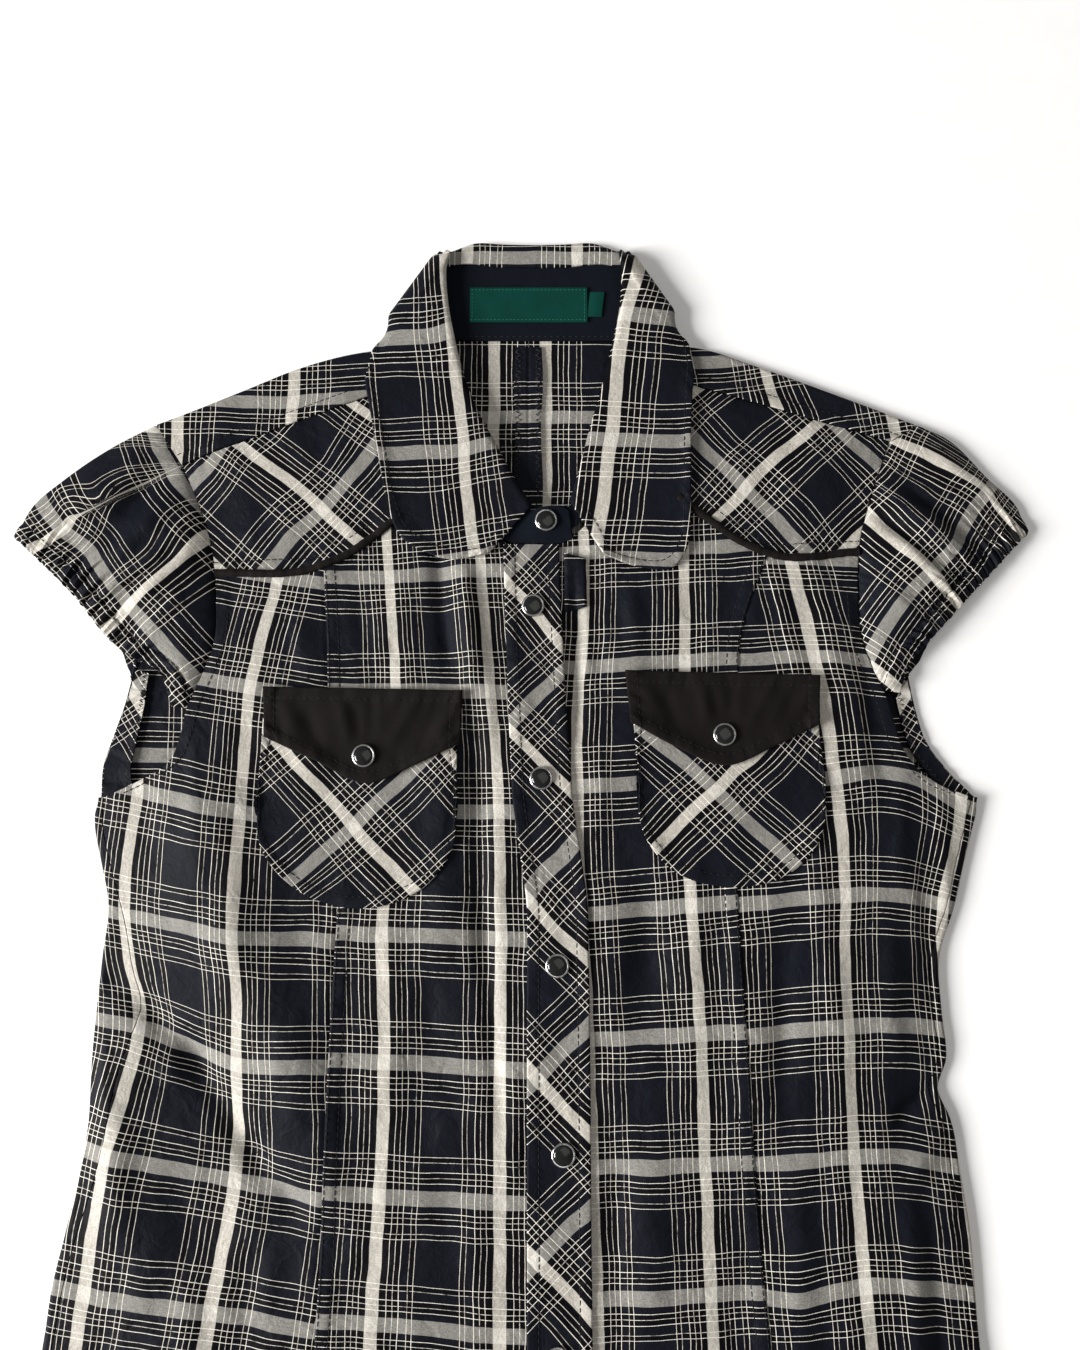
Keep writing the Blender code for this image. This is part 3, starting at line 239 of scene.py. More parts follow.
# Pockets: flap's upper corners and its lower edge; bag's upper corners and its lower edge
POCKETS = [
    dict(
        flap_top=[(-125.6, 79.8), (-27.6, 77.8)],
        flap=[(-124, 55), (-98, 43), (-74.5, 32.5), (-51, 41), (-29, 51.6)],
        bag_top=[(-125, 74), (-30, 73)],
        bag=[(-126.7, 24.7), (-124, 2), (-108, -17), (-75, -27), (-46, -17.5), (-32, 1), (-30.5, 22)],
    ),
    dict(
        flap_top=[(51.6, 87.8), (147.3, 85.3)],
        flap=[(54, 62), (76, 50), (99.5, 41), (124, 50.5), (146, 61)],
        bag_top=[(54, 82), (144.5, 80)],
        bag=[(58, 32), (59.5, 9), (73, -8.5), (103, -17), (132, -9), (145.5, 8), (148, 34)],
    ),
]

# Where the snaps are: name, x, y, what they sit on
SNAPS = [
    ("snap_stand", 13.0, 163.8, "stand"),
    ("snap_front_1", 6.5, 120.1, "placket"),
    ("snap_front_2", 10.5, 34.9, "placket"),
    ("snap_front_3", 18.1, -53.4, "placket"),
    ("snap_front_4", 20.8, -138.8, "placket"),
    ("snap_front_5", 17.8, -227.1, "placket"),
    ("snap_pocket_right", -75.4, 45.7, "flap"),
    ("snap_pocket_left", 99.5, 56.0, "flap"),
]
FLAP_SNAPS = (6, 7)

# Largest soft folds of the laid-out fronts: from x, y to x, y, half width, height
FOLD_PLAIN = 0.25         # a fold keeps its height this far from its middle, as a share of its length
FOLD_FADE = 0.22          # and fades over this share
DRAPE = [
    (-182, -62, -146, -114, 9, -2.6), (-148, -111, -108, -174, 10, -2.2), (-30, 136, -18, 40, 7, 2),
    (-16, 20, -10, -110, 7, 1.6), (47, 132, 50, 96, 6, -1.4), (160, 140, 168, 40, 9, 1.6),
    (190, 0, 193, -62, 5, 1.8), (197, -108, 178, -124, 6, -2), (150, -40, 160, -190, 14, 1.6),
    (-150, 20, -168, -40, 12, 1.4), (60, -60, 74, -250, 16, 1.2), (-60, -70, -52, -240, 16, 1.3),
]
# The same for the puffed sleeves
SLEEVE_DRAPE = [
    [(-176, 188, -207, 167, 6, -2.6), (-207, 167, -228, 146, 7, -2.2), (-166, 160, -196, 118, 7, 1.8),
     (-190, 205, -236, 172, 6, 1.6)],
    [(190, 198, 221, 165, 6, -2.6), (221, 165, 240, 144, 7, -2.2), (184, 168, 214, 126, 7, 1.8),
     (206, 206, 240, 172, 6, 1.6)],
]

# Finer creases of the fronts, and of the sleeves, in the same way
CREASE_GAIN = 1.25        # their heights are taken this many times
SLEEVE_CREASE_GAIN = 1.3
WRINKLES = [
    (-200, -58, -172, -76, 8, -1.5), (-184, -68, -144, -102, 7, -2.8), (-158, -90, -118, -148, 6.5, -3.2),
    (-130, -132, -98, -168, 6, -2.6), (-152, 40, -136, -60, 18, 3.4), (-144, -24, -100, -110, 18, 3.6),
    (-112, -84, -82, -170, 14, 2.6), (-196, -86, -184, -190, 11, 3.2), (-172, -120, -136, -200, 16, -2.2),
    (-168, -96, -126, -172, 13, -2), (-42, 152, -35, 88, 4, -2.4), (-29, 146, -22, 76, 4, 2.2),
    (28, 134, 27, 54, 3.6, -2.6), (-64, -70, -40, -128, 9, -1.4), (40, 60, 36, -30, 5, 1),
    (-186, 40, -170, -30, 6, -0.8), (-160, 60, -156, 0, 4, 0.8), (-22, 76, -17, -50, 4.6, -2.8),
    (-18, -20, -10, -120, 4.4, -2.4), (-2, -90, -2, -160, 4, 1.2), (-38, 60, -36, -50, 9, 1.4),
    (-25, 144, -14, 60, 3.4, 1.2), (-46, -60, -30, -118, 8, -1.3), (-62, -40, -56, -110, 6, 1),
    (-20, -150, -18, -240, 9, 0.9), (-90, -180, -84, -260, 8, 0.8), (-150, -190, -158, -270, 9, 0.9),
    (-182, -170, -190, -250, 6, -0.7), (-122, -176, -128, -250, 7, -0.8), (-52, -190, -56, -290, 7, -0.7),
    (36, 134, 40, 80, 4, -1.3), (54, 136, 58, 92, 5, 0.9), (126, 140, 136, 90, 4, 0.9),
    (146, 146, 160, 60, 4, 1), (168, 120, 176, 30, 5, -1), (186, 40, 182, -24, 4, 0.9),
    (44, -10, 40, -90, 8, 1.2), (60, -8, 62, -80, 9, -1.6), (82, -20, 84, -120, 9, 1.5),
    (104, -30, 108, -130, 9, 1.2), (126, -40, 124, -120, 6, -1.3), (140, 20, 150, -90, 6, 1),
    (160, -70, 156, -190, 7, -1), (176, -40, 178, -110, 5, 1), (196, -110, 176, -126, 4, -2.2),
    (200, -130, 182, -150, 6, 1.4), (194, -10, 199, -80, 3.6, -1.4), (205, 30, 207, -40, 4, 1.2),
    (190, -160, 196, -260, 4, -1.1), (180, -150, 184, -270, 5, 1.2), (46, -120, 42, -210, 6, -1),
    (62, -130, 60, -230, 9, 1.1), (100, -150, 104, -250, 8, -0.9), (128, -140, 132, -240, 8, 1),
    (150, -200, 154, -290, 7, 0.9), (80, -200, 78, -300, 8, 0.8), (-6, 118, 4, 60, 4, 0.7),
    (8, -70, 16, -120, 5, 0.6), (12, -160, 10, -210, 5, 0.7), (-112, 120, -104, 84, 5, 0.8),
    (-80, 132, -76, 90, 5, -0.7), (-60, 134, -52, 80, 5, 0.9), (84, 132, 88, 94, 5, -0.7),
]
SLEEVE_WRINKLES = [
    [(-166, 154, -206, 116, 4.5, -3.6), (-162, 190, -168, 150, 9, 1.6), (-184, 194, -210, 148, 7, -2.4),
     (-160, 150, -190, 122, 6, 1.4), (-170, 194, -222, 164, 2.4, -2.8), (-186, 196, -240, 168, 5, 1.5),
     (-170, 176, -190, 160, 5, 1.2), (-200, 176, -240, 158, 4, 1.2), (-180, 166, -216, 134, 5, 1.4),
     (-166, 128, -186, 104, 4, 1), (-205, 190, -232, 178, 4, -1)],
    [(176, 172, 220, 130, 4.5, -3.4), (190, 188, 232, 148, 4.5, -2.2), (182, 182, 228, 142, 5, 1.8),
     (204, 206, 250, 172, 5, 1.6), (184, 160, 222, 124, 5, 1.5), (206, 196, 240, 168, 4, -1.5),
     (190, 190, 214, 174, 4, 1), (180, 130, 206, 106, 4, 1), (216, 210, 250, 186, 4, -1)],
]


# Fine meshes: distances of the first rows from an edge, and the step between the others
EDGE_INSETS = (0.0, 0.25, 0.7, 1.3, 2.2, 3.6, 5.0, 5.8, 6.5, 7.3, 9.0)
PLAIN_INSETS = (0.0, 1.2)
ROW_STEP = 2.3
FINE_STEP = 1.9


# ---------------------------------------------------------------- curves and patches

def run_along(line):
    """How far along a line each of its points lies."""
    return np.concatenate([[0.0], np.cumsum(np.linalg.norm(np.diff(line, axis=0), axis=1))])


def mean_run(grid):
    """How far up each row of a grid lies, on average."""
    return np.concatenate([[0.0], np.cumsum(np.linalg.norm(np.diff(grid, axis=0), axis=2).mean(axis=1))])


def beside(run):
    """Unit directions square to these in the plane."""
    out = np.column_stack([-run[:, 1], run[:, 0]])
    return out / np.linalg.norm(out, axis=1)[:, None]


def smooth(points, steps=12):
    """A smooth curve through the points, as a dense line of points."""
    points = np.array(points, float)
    if len(points) < 3:
        return points
    knots, spans = run_along(points), len(points) - 1
    return hermite(points, knots, np.interp(np.arange(spans * steps + 1) / steps, np.arange(spans + 1), knots))


def along(line, fractions):
    """Points at these fractions of the line's length."""
    line = np.asarray(line, float)
    run = run_along(line)
    return np.column_stack([np.interp(fractions, run / run[-1], line[:, k]) for k in range(line.shape[1])])


def even(count):
    """Fractions from 0 to 1 in this many equal steps."""
    return np.linspace(0.0, 1.0, count + 1)


def patch(bottom, top, left, right, u=None, v=None):
    """Grid of points, rows from bottom to top, between four edges that share their corners."""
    bottom, top, left, right = (np.asarray(edge, float) for edge in (bottom, top, left, right))
    u = even(len(bottom) - 1) if u is None else np.asarray(u)
    v = even(len(left) - 1) if v is None else np.asarray(v)
    across, up = u[None, :, None], v[:, None, None]
    between_rows = (1 - up) * bottom[None] + up * top[None]
    between_columns = (1 - across) * left[:, None] + across * right[:, None]
    corners = ((1 - across) * (1 - up) * bottom[0] + across * (1 - up) * bottom[-1]
               + (1 - across) * up * top[0] + across * up * top[-1])
    return between_rows + between_columns - corners


def distance(line, x, y):
    """Distance in the plane from each x, y to a line of points."""
    best = np.full(np.shape(x), np.inf)
    for (ax, ay), (bx, by) in zip(line[:-1], line[1:]):
        length2 = (bx - ax) ** 2 + (by - ay) ** 2
        t = np.clip(((x - ax) * (bx - ax) + (y - ay) * (by - ay)) / length2, 0, 1)
        best = np.minimum(best, np.hypot(x - ax - t * (bx - ax), y - ay - t * (by - ay)))
    return best


def drape(strokes, x, y):
    """Sum of soft troughs and ridges, each fading towards its ends."""
    total = np.zeros(np.shape(x))
    for ax, ay, bx, by, width, height in strokes:
        length = math.hypot(bx - ax, by - ay)
        run = ((x - ax) * (bx - ax) + (y - ay) * (by - ay)) / length**2
        off = ((x - ax) * (by - ay) - (y - ay) * (bx - ax)) / length
        fade = np.exp(-((np.clip(np.abs(run - 0.5) - FOLD_PLAIN, 0, None) / FOLD_FADE) ** 2))
        total += height * np.exp(-((off / width) ** 2)) * fade
    return total


# ---------------------------------------------------------------- fine rows and columns

def hermite(values, knots, at):
    """Values on a smooth curve through the given ones, at these places between their knots."""
    values, knots, at = np.asarray(values, float), np.asarray(knots, float), np.asarray(at, float)
    flat = values.reshape(len(values), -1)
    span = np.diff(knots)[:, None]
    slope = np.diff(flat, axis=0) / span
    inner = (slope[:-1] * span[1:] + slope[1:] * span[:-1]) / (span[:-1] + span[1:])
    tangent = np.vstack([slope[:1], inner, slope[-1:]])
    k = np.clip(np.searchsorted(knots, at, side="right") - 1, 0, len(knots) - 2)
    s = ((at - knots[k]) / span[k, 0])[:, None]
    leave, arrive = span[k] * tangent[k], span[k] * tangent[k + 1]
    made = flat[k] + (flat[k + 1] - flat[k]) * (3 * s**2 - 2 * s**3)
    made = made + (s**3 - 2 * s**2 + s) * leave + (s**3 - s**2) * arrive
    return made.reshape((len(at),) + values.shape[1:])


def spaced(length, step, first=EDGE_INSETS, last=EDGE_INSETS):
    """Fractions from 0 to 1 of a length: close together near its ends, then about this step apart."""
    middle = max(2, round((length - first[-1] - last[-1]) / step))
    line = np.linspace(first[-1], length - last[-1], middle + 1)
    line = np.concatenate([first[:-1], line, length - np.array(last[:-1])[::-1]])
    return line / length


def refine(grid, step, row_ends=(EDGE_INSETS, EDGE_INSETS), column_ends=(EDGE_INSETS, EDGE_INSETS)):
    """A smooth surface through the points of a coarse grid, with rows and columns about a step apart."""
    for axis, ends in ((0, row_ends), (1, column_ends)):
        grid = np.moveaxis(grid, axis, 0)
        knots = mean_run(grid)
        grid = hermite(grid, knots, spaced(knots[-1], step, *ends) * knots[-1])
        grid = np.moveaxis(grid, 0, axis)
    return grid


def ease(low, high, x):
    """Rises softly from 0 to 1 between low and high."""
    t = np.clip((x - low) / (high - low), 0, 1)
    return t * t * (3 - 2 * t)


# The sections again, at the heights of the fine rows
HEM_Y = SECTIONS[0, 0]
ROW_Y = np.concatenate([HEM_Y + np.array(EDGE_INSETS[:-1]),
                        np.arange(HEM_Y + EDGE_INSETS[-1], UNDERARM_Y - 1, ROW_STEP), [UNDERARM_Y]])
SECTION = np.column_stack([ROW_Y, hermite(SECTIONS[:, 1:], SECTIONS[:, 0], ROW_Y)])

# ---------------------------------------------------------------- grain

REPEAT = (57.4, 58.0)     # the plaid's repeat along its two threads
MARK_HEIGHT = 6.0         # height of the cloth under the marks below

# Where the plaid's wide stripes, and then its bands, lie on each piece: the number of each, and points on
# it as x, y in the photograph's pixels. The outer line of a group has a fraction of a number.
LINE_W, LINE_F = 0.312, 0.319
MARKS = {
    "side_front_right": (
        {1: [(279, 578), (252, 688), (243, 813), (238, 935), (239, 1063), (235, 1180), (212, 1310)],
        0: [(138, 790), (123, 915), (139, 1027), (107, 1155), (83, 1295)]},
        {-2: [(279, 578)], -1: [(252, 688)], 0: [(243, 813), (138, 790)], 1: [(238, 935), (123, 915),
        (300, 938)], 2: [(239, 1063), (139, 1027), (300, 1063)], 3: [(235, 1180), (107, 1155), (300, 1193)],
        4: [(212, 1310), (83, 1295), (300, 1325)]}),
    "centre_front_right": (
        {2: [(390, 578), (397, 691), (383, 934), (386, 1060), (381, 1193), (372, 1320)], 3: [(481, 572),
        (491, 692), (499, 812), (501, 938), (500, 1068), (500, 1200), (500, 1332)]},
        {-2: [(390, 578), (481, 572)], -1: [(397, 691), (491, 692)], 1: [(383, 934), (501, 938)],
        2: [(386, 1060), (500, 1068)], 3: [(381, 1193), (500, 1200)], 4: [(372, 1320), (500, 1332)],
        0: [(499, 812)]}),
    "centre_front_left": (
        {5: [(683, 549), (684, 662), (690, 905), (699, 1032), (704, 1163), (710, 1292)], 4: [(583, 620),
        (578, 700), (577, 787)]},
        {-2: [(683, 549)], -1: [(684, 662)], 1: [(690, 905), (600, 913), (740, 900)], 2: [(699, 1032),
        (600, 1037)], 3: [(704, 1163), (600, 1165)], 4: [(710, 1292), (600, 1297)], 0: [(577, 787)]}),
    "side_front_left": (
        {6: [(790, 560), (813, 657), (833, 778), (843, 895), (846, 1025), (852, 1155), (864, 1283)],
        7: [(962, 805), (955, 850), (943, 905)]},
        {-2: [(790, 560)], -1: [(813, 657)], 0: [(833, 778), (962, 805), (880, 772), (920, 780)],
        1: [(843, 895), (943, 905), (800, 898), (900, 895)], 2: [(846, 1025), (745, 1035), (900, 1025)],
        3: [(852, 1155), (750, 1163), (900, 1155), (940, 1165)], 4: [(864, 1283), (760, 1295), (800, 1297),
        (900, 1285), (950, 1292)]}),
    "front_yoke_right": (
        {0: [(246, 450), (274, 470), (296, 486), (323, 511), (340, 526), (354, 539)], 1 - LINE_W: [(326, 419),
        (378, 456)], 1: [(361, 411)], LINE_W - 1: [(202, 508), (218, 522), (242, 544)], -LINE_W: [(240, 486),
        (270, 510), (298, 534)], LINE_W: [(278, 434), (310, 458), (340, 480), (370, 504)]},
        {0: [(323, 511), (370, 456), (350, 478), (308, 524), (294, 536), (274, 562)], 1: [(212, 464),
        (200, 474), (190, 484)], LINE_F: [(347, 420), (322, 462), (300, 484), (270, 510), (254, 526),
        (242, 542)], 1 - LINE_F: [(278, 442), (250, 464), (230, 494), (212, 514)]}),
    "front_yoke_left": (
        {0: [(813, 428), (798, 440), (780, 454), (764, 468), (745, 490), (730, 506), (716, 520)],
        1: [(691, 395)], LINE_W: [(778, 415), (740, 446), (706, 480), (688, 502)], -LINE_W: [(850, 438),
        (830, 458), (800, 486), (760, 524), (740, 542)], 1 - LINE_W: [(732, 399), (710, 416), (687, 440)],
        LINE_W - 1: [(874, 474), (850, 496), (830, 516), (798, 548)]},
        {0: [(745, 490), (694, 440), (710, 456), (726, 470), (760, 504), (776, 520), (788, 534)],
        1: [(850, 442), (862, 450), (874, 460)], LINE_F: [(718, 417), (738, 440), (764, 460), (798, 494),
        (810, 502), (832, 532)], 1 - LINE_F: [(784, 420), (810, 446), (830, 464), (855, 492)],
        -LINE_F: [(710, 506), (760, 552)]}),
    "pocket_right": (
        {0: [(295, 762), (320, 787), (355, 827), (380, 855), (410, 885)], LINE_W: [(367, 786), (395, 812),
        (440, 862)], -LINE_W: [(264, 775), (305, 820), (380, 907)], 1: [(452, 757)], 1 - LINE_W: [(415, 770),
        (455, 815)], LINE_W - 1: [(259, 841), (282, 867), (311, 902)]},
        {0: [(355, 827), (410, 776), (385, 797), (320, 857), (295, 880)], -LINE_F: [(455, 777), (385, 845),
        (312, 902)], LINE_F: [(345, 782), (307, 817), (272, 847)], 1 - LINE_F: [(300, 764), (261, 796)]}),
    "pocket_left": (
        {0: [(750, 760), (732, 771), (715, 791), (690, 812), (665, 837)], LINE_W: [(815, 737), (765, 792),
        (712, 845), (677, 877)], -LINE_W: [(697, 759), (665, 787), (634, 820)], 1 - LINE_W: [(817, 807),
        (765, 856), (735, 885)], LINE_W - 1: [(654, 740), (627, 762)]},
        {0: [(715, 791), (652, 740), (680, 760), (735, 812), (757, 832), (780, 852)], LINE_F: [(735, 765),
        (765, 794), (800, 825)], -LINE_F: [(631, 765), (692, 825), (750, 880)], 1 - LINE_F: [(777, 745),
        (817, 781)]}),
    "placket": (
        {0: [(509, 586), (530, 607), (552, 637)], 1: [(509, 730), (525, 745), (540, 760), (570, 792)],
        2: [(526, 897), (555, 930), (582, 953)], 3: [(532, 1070), (560, 1102), (585, 1127)], 4: [(532, 1252),
        (560, 1280), (585, 1307)]},
        {2: [(526, 897), (540, 875), (560, 860), (572, 845)], 0: [(515, 568), (530, 551)], 1: [(517, 718),
        (530, 705), (556, 680)], 3: [(547, 1065), (560, 1050), (582, 1030)], 4: [(547, 1247), (560, 1232),
        (585, 1210)]}),
    "collar_right": (
        {0: [(446, 280), (452, 330), (456, 375), (462, 425), (465, 452), (467, 497), (472, 535)],
        -LINE_W: [(415, 282), (415, 330), (420, 375), (427, 452), (437, 542)], LINE_W - 1: [(372, 340),
        (375, 375), (384, 460), (389, 497)], LINE_W: [(495, 445), (507, 530)]},
        {1: [(452, 330), (375, 341), (410, 339), (440, 339)], 0: [(465, 452), (392, 456), (422, 454),
        (492, 445)], LINE_F: [(385, 422), (482, 414)], -LINE_F: [(392, 495), (435, 494), (510, 479)],
        1 + LINE_F: [(395, 301), (442, 299)], 1 - LINE_F: [(410, 379), (467, 379)], LINE_F - 1: [(397, 534),
        (435, 532), (485, 522)]}),
    "collar_left": (
        {0: [(635, 285), (625, 317), (617, 375), (612, 430)], LINE_W: [(661, 335), (659, 360)]},
        {1: [(625, 317), (655, 319)], 0: [(670, 444)], 1 - LINE_F: [(672, 362)], LINE_F: [(657, 407),
        (680, 407)], -LINE_F: [(662, 480), (680, 480)]}),
    "shoulder_right": (
        {0: [(293, 392), (292, 425)], -LINE_W: [(258, 405), (257, 440)], LINE_W: [(329, 400)],
        LINE_W - 1: [(213, 425)], -1: [(176, 440)]},
        {0: [(230, 400), (282, 402), (330, 399)], -LINE_F: [(230, 434), (280, 437)]}),
    "shoulder_left": (
        {0: [(768, 376), (775, 404)], -LINE_W: [(732, 356), (739, 398)], LINE_W: [(802, 382), (812, 400)],
        1 - LINE_W: [(856, 402), (862, 434)]},
        {0: [(690, 362), (730, 360)], -LINE_F: [(718, 395), (760, 389), (800, 383)], LINE_F - 1: [(806, 424),
        (840, 416), (880, 410)]}),
    "sleeve_right": (
        {0: [(205, 539), (185, 559), (165, 579), (149, 593), (133, 607), (111, 627)], 1: [(71, 525), (45, 541)],
        1 + LINE_W: [(25, 513), (53, 497), (81, 483), (125, 468), (161, 462)], 2 - LINE_W: [(105, 448),
        (163, 448)], LINE_W: [(189, 501), (153, 549), (133, 565), (91, 595)], -LINE_W: [(215, 589), (171, 623),
        (133, 655)], LINE_W - 1: [(215, 651), (195, 663), (177, 677)]},
        {0: [(133, 607), (37, 495), (63, 530), (91, 551), (117, 589), (153, 629), (185, 667)],
        LINE_F: [(71, 465), (85, 495), (109, 523), (145, 569), (191, 615), (217, 643)], 1 - LINE_F: [(118, 439),
        (135, 485), (163, 519), (197, 553)], 1: [(158, 445), (185, 488)]}),
    "sleeve_left": (
        {0: [(863, 510), (880, 530), (900, 550), (928, 574), (954, 602)], 1: [(890, 436), (920, 450),
        (952, 468), (988, 490), (1010, 518)], LINE_W: [(873, 476), (900, 500), (926, 526), (970, 570)],
        1 - LINE_W: [(880, 460), (900, 476), (934, 500), (980, 534)], -LINE_W: [(850, 554), (880, 582),
        (920, 616)], -1: [(870, 666)], LINE_W - 1: [(872, 628), (894, 644)], 1 + LINE_W: [(940, 436),
        (970, 454), (1010, 494)]},
        {0: [(928, 574), (988, 490), (914, 586), (888, 620), (868, 658), (954, 546), (968, 518)],
        LINE_F: [(852, 612), (880, 574), (920, 530), (948, 484), (968, 464)], 1 - LINE_F: [(873, 510),
        (905, 480), (926, 438)], 1: [(890, 436)]}),
}
# Straight-grain pieces: a crossing of a stripe and a band in the photograph's pixels, and its height
PLAIN_GRAIN = {
    "back_right": (494, 417, 1.5),
    "back_left": (546, 417, 1.5),
    "collar_strip": (467, 257, 5.4),
    "underlap_end": (508, 637, 8.0),
}
CHART_EASE = 40.0         # how freely the grain may pass beside a mark
# The pleat of the right sleeve's head hides a strip of cloth: the pleat's line, the strip in repeats, half
# the pleat's width, and the parts of its line between which it dies out
PLEAT_START, PLEAT_END, PLEAT_HIDES, PLEAT_HALF = (-170.0, 195.5), (-224.0, 165.5), 0.42, 1.3
PLEAT_FADE = (0.72, 1.08)


def photo_point(x, y, height):
    """The point of the frame at this height that the photograph shows at this pixel."""
    tilt = math.radians(CAMERA_TILT)
    across = (np.asarray(x, float) - PHOTO_SIZE[0] / 2) / FOCAL
    up = (PHOTO_SIZE[1] / 2 - np.asarray(y, float)) / FOCAL
    place = np.array(CAMERA_PLACE) / MM
    ahead_y, ahead_z = math.sin(tilt) + up * math.cos(tilt), up * math.sin(tilt) - math.cos(tilt)
    reach = (height - place[2]) / ahead_z
    return np.stack([place[0] + reach * across, place[1] + reach * ahead_y], axis=-1)


def plate(points, values, freedom, x, y):
    """At x, y, a smooth function that passes near the values at the points."""
    def kernel(a, b):
        gap2 = ((a[:, None] - b[None]) ** 2).sum(axis=2)
        return 0.5 * gap2 * np.log(np.maximum(gap2, 1e-12))

    count = len(points)
    flat = np.column_stack([np.ones(count), points])
    system = np.zeros((count + 3, count + 3))
    system[:count, :count] = kernel(points, points) + freedom * np.eye(count)
    system[:count, count:], system[count:, :count] = flat, flat.T
    weights = np.linalg.solve(system, np.concatenate([values, np.zeros(3)]))
    at = np.column_stack([np.ravel(x), np.ravel(y)])
    found = kernel(at, points) @ weights[:count] + weights[count] + at @ weights[count + 1:]
    return found.reshape(np.shape(x))


def pleat(x, y):
    """Repeats of the plaid that the pleat hides below these points."""
    run = np.array(PLEAT_END) - np.array(PLEAT_START)
    length = np.linalg.norm(run)
    along_line = ((x - PLEAT_START[0]) * run[0] + (y - PLEAT_START[1]) * run[1]) / length**2
    above = ((x - PLEAT_START[0]) * run[1] - (y - PLEAT_START[1]) * run[0]) / length
    return PLEAT_HIDES * ease(-PLEAT_HALF, PLEAT_HALF, above) * (1 - ease(*PLEAT_FADE, along_line))


def grain(name, grid):
    """Repeats of the plaid along both threads, at each point of a grid on this piece."""
    x, y = grid[..., 0], grid[..., 1]
    if name in PLAIN_GRAIN:
        start = photo_point(*PLAIN_GRAIN[name])
        return np.stack([(x - start[0]) / REPEAT[0], (y - start[1]) / REPEAT[1]], axis=-1)
    counts = []
    for groups in MARKS[name]:
        points = np.array([photo_point(*mark, MARK_HEIGHT) for marks in groups.values() for mark in marks])
        values = np.array([number for number, marks in groups.items() for _ in marks], float)
        hidden = 0.0
        if name == "sleeve_right" and not counts:
            values, hidden = values - pleat(*points.T), pleat(x, y)
        counts.append(plate(points, values, CHART_EASE, x, y) + hidden)
    return np.stack(counts, axis=-1)


# ---------------------------------------------------------------- the shirt's height

OUTLINES = [
    np.vstack([SECTIONS[:, [0, FOLD_COLUMN[s]]][:, ::-1], np.array(BACK_ARMHOLE[s][1:-1], float),
               np.array(SHOULDER[s], float)[::-1]])
    for s in (RIGHT, LEFT)
]
CRUMPLES = 14             # waves of the cloth's slight unevenness
CRUMPLE_HEIGHT = 0.24
CRUMPLE_LENGTH = (14.0, 55.0)
CRUMPLE_TURN = 0.75       # most of the waves run up and down: their turn, in radians, at most


def crumple(x, y):
    """Slight unevenness of the cloth."""
    draw = np.random.default_rng(11)
    total = np.zeros(np.shape(x))
    for _ in range(CRUMPLES):
        turn, start = draw.uniform(-CRUMPLE_TURN, CRUMPLE_TURN), draw.uniform(0, 6.28)
        length = draw.uniform(*CRUMPLE_LENGTH)
        total += np.sin(2 * math.pi * (x * math.cos(turn) + y * math.sin(turn)) / length + start
                        + 1.5 * np.sin((x * math.sin(turn) - y * math.cos(turn)) / length * 2.1 + start))
    return CRUMPLE_HEIGHT * total / math.sqrt(CRUMPLES / 2)


def top_height(x, y):
    """Height of the upper face of the top layer."""
    x, y = np.asarray(x, float), np.asarray(y, float)
    inside = np.minimum(distance(OUTLINES[RIGHT], x, y), distance(OUTLINES[LEFT], x, y))
    rise = 1 - np.exp(-((np.clip(inside - FOLD, 0, None) / EDGE_REACH) ** RISE_POWER))
    form = np.interp(y, LOFT_Y, LOFT_MM) + drape(DRAPE, x, y)
    fine = (crumple(x, y) + CREASE_GAIN * drape(WRINKLES, x, y)) * ease(0, FINE_REACH, inside)
    return 2 * FOLD + rise * form + fine


def lift(grid, offset=0.0):
    """Gives a flat grid of x, y the height of the top layer, and an offset above it."""
    x, y = grid[..., 0], grid[..., 1]
    return np.dstack([x, y, top_height(x, y) + offset])


# ---------------------------------------------------------------- body

def body_rows(low, high, parts):
    """Rows of points up the body between two x of each section: level, but for the hem's curve."""
    xs, y = low[:, None] + (high - low)[:, None] * parts, SECTION[:, :1]
    reach = np.abs(xs / np.where(xs < 0, SECTION[0, FOLD_COLUMN[RIGHT]], SECTION[0, FOLD_COLUMN[LEFT]]))
    weight = np.clip((HEM_ROWS_TOP - y) / (HEM_ROWS_TOP - HEM_Y), 0, 1)
    return np.dstack([xs, y + HEM_RISE * weight * reach**HEM_POWER])


NECK_PART = 0.32          # the part of a back half's width that the neck takes
NECK_CORNER = 18
FLOOR_U = np.concatenate([np.linspace(0, NECK_PART, NECK_CORNER + 1), np.linspace(NECK_PART, 1.0, 52)[1:]])
ARC_TURNS = np.radians([-67.5, -45, -22.5, 0, 22.5, 45, 67.5, 90])
STRIP_PARTS = np.array([0.05, 0.12, 0.2, 0.3, 0.4, 0.5, 0.6, 0.68, 0.74, 0.8, 0.86, 0.92, 0.96, 0.985, 1.0])
UPPER_ROWS = 52
CENTRE_BACK_X = 4.0
FOLD_END, FOLD_FLATTENED = 9.0, 0.85          # a side's fold gets this flat over its last stretch


def shoulder_frame(side, fractions):
    """Points of the shoulder fold's middle line in the plane, and its outward direction."""
    line = smooth(SHOULDER[side])
    dense = even(40)
    run = np.gradient(along(line, dense), axis=0)
    out = beside(np.column_stack([np.interp(fractions, dense, run[:, k]) for k in (0, 1)]))
    out *= np.sign(out[:, 1])[:, None]
    return along(line, fractions) - out * FOLD, out


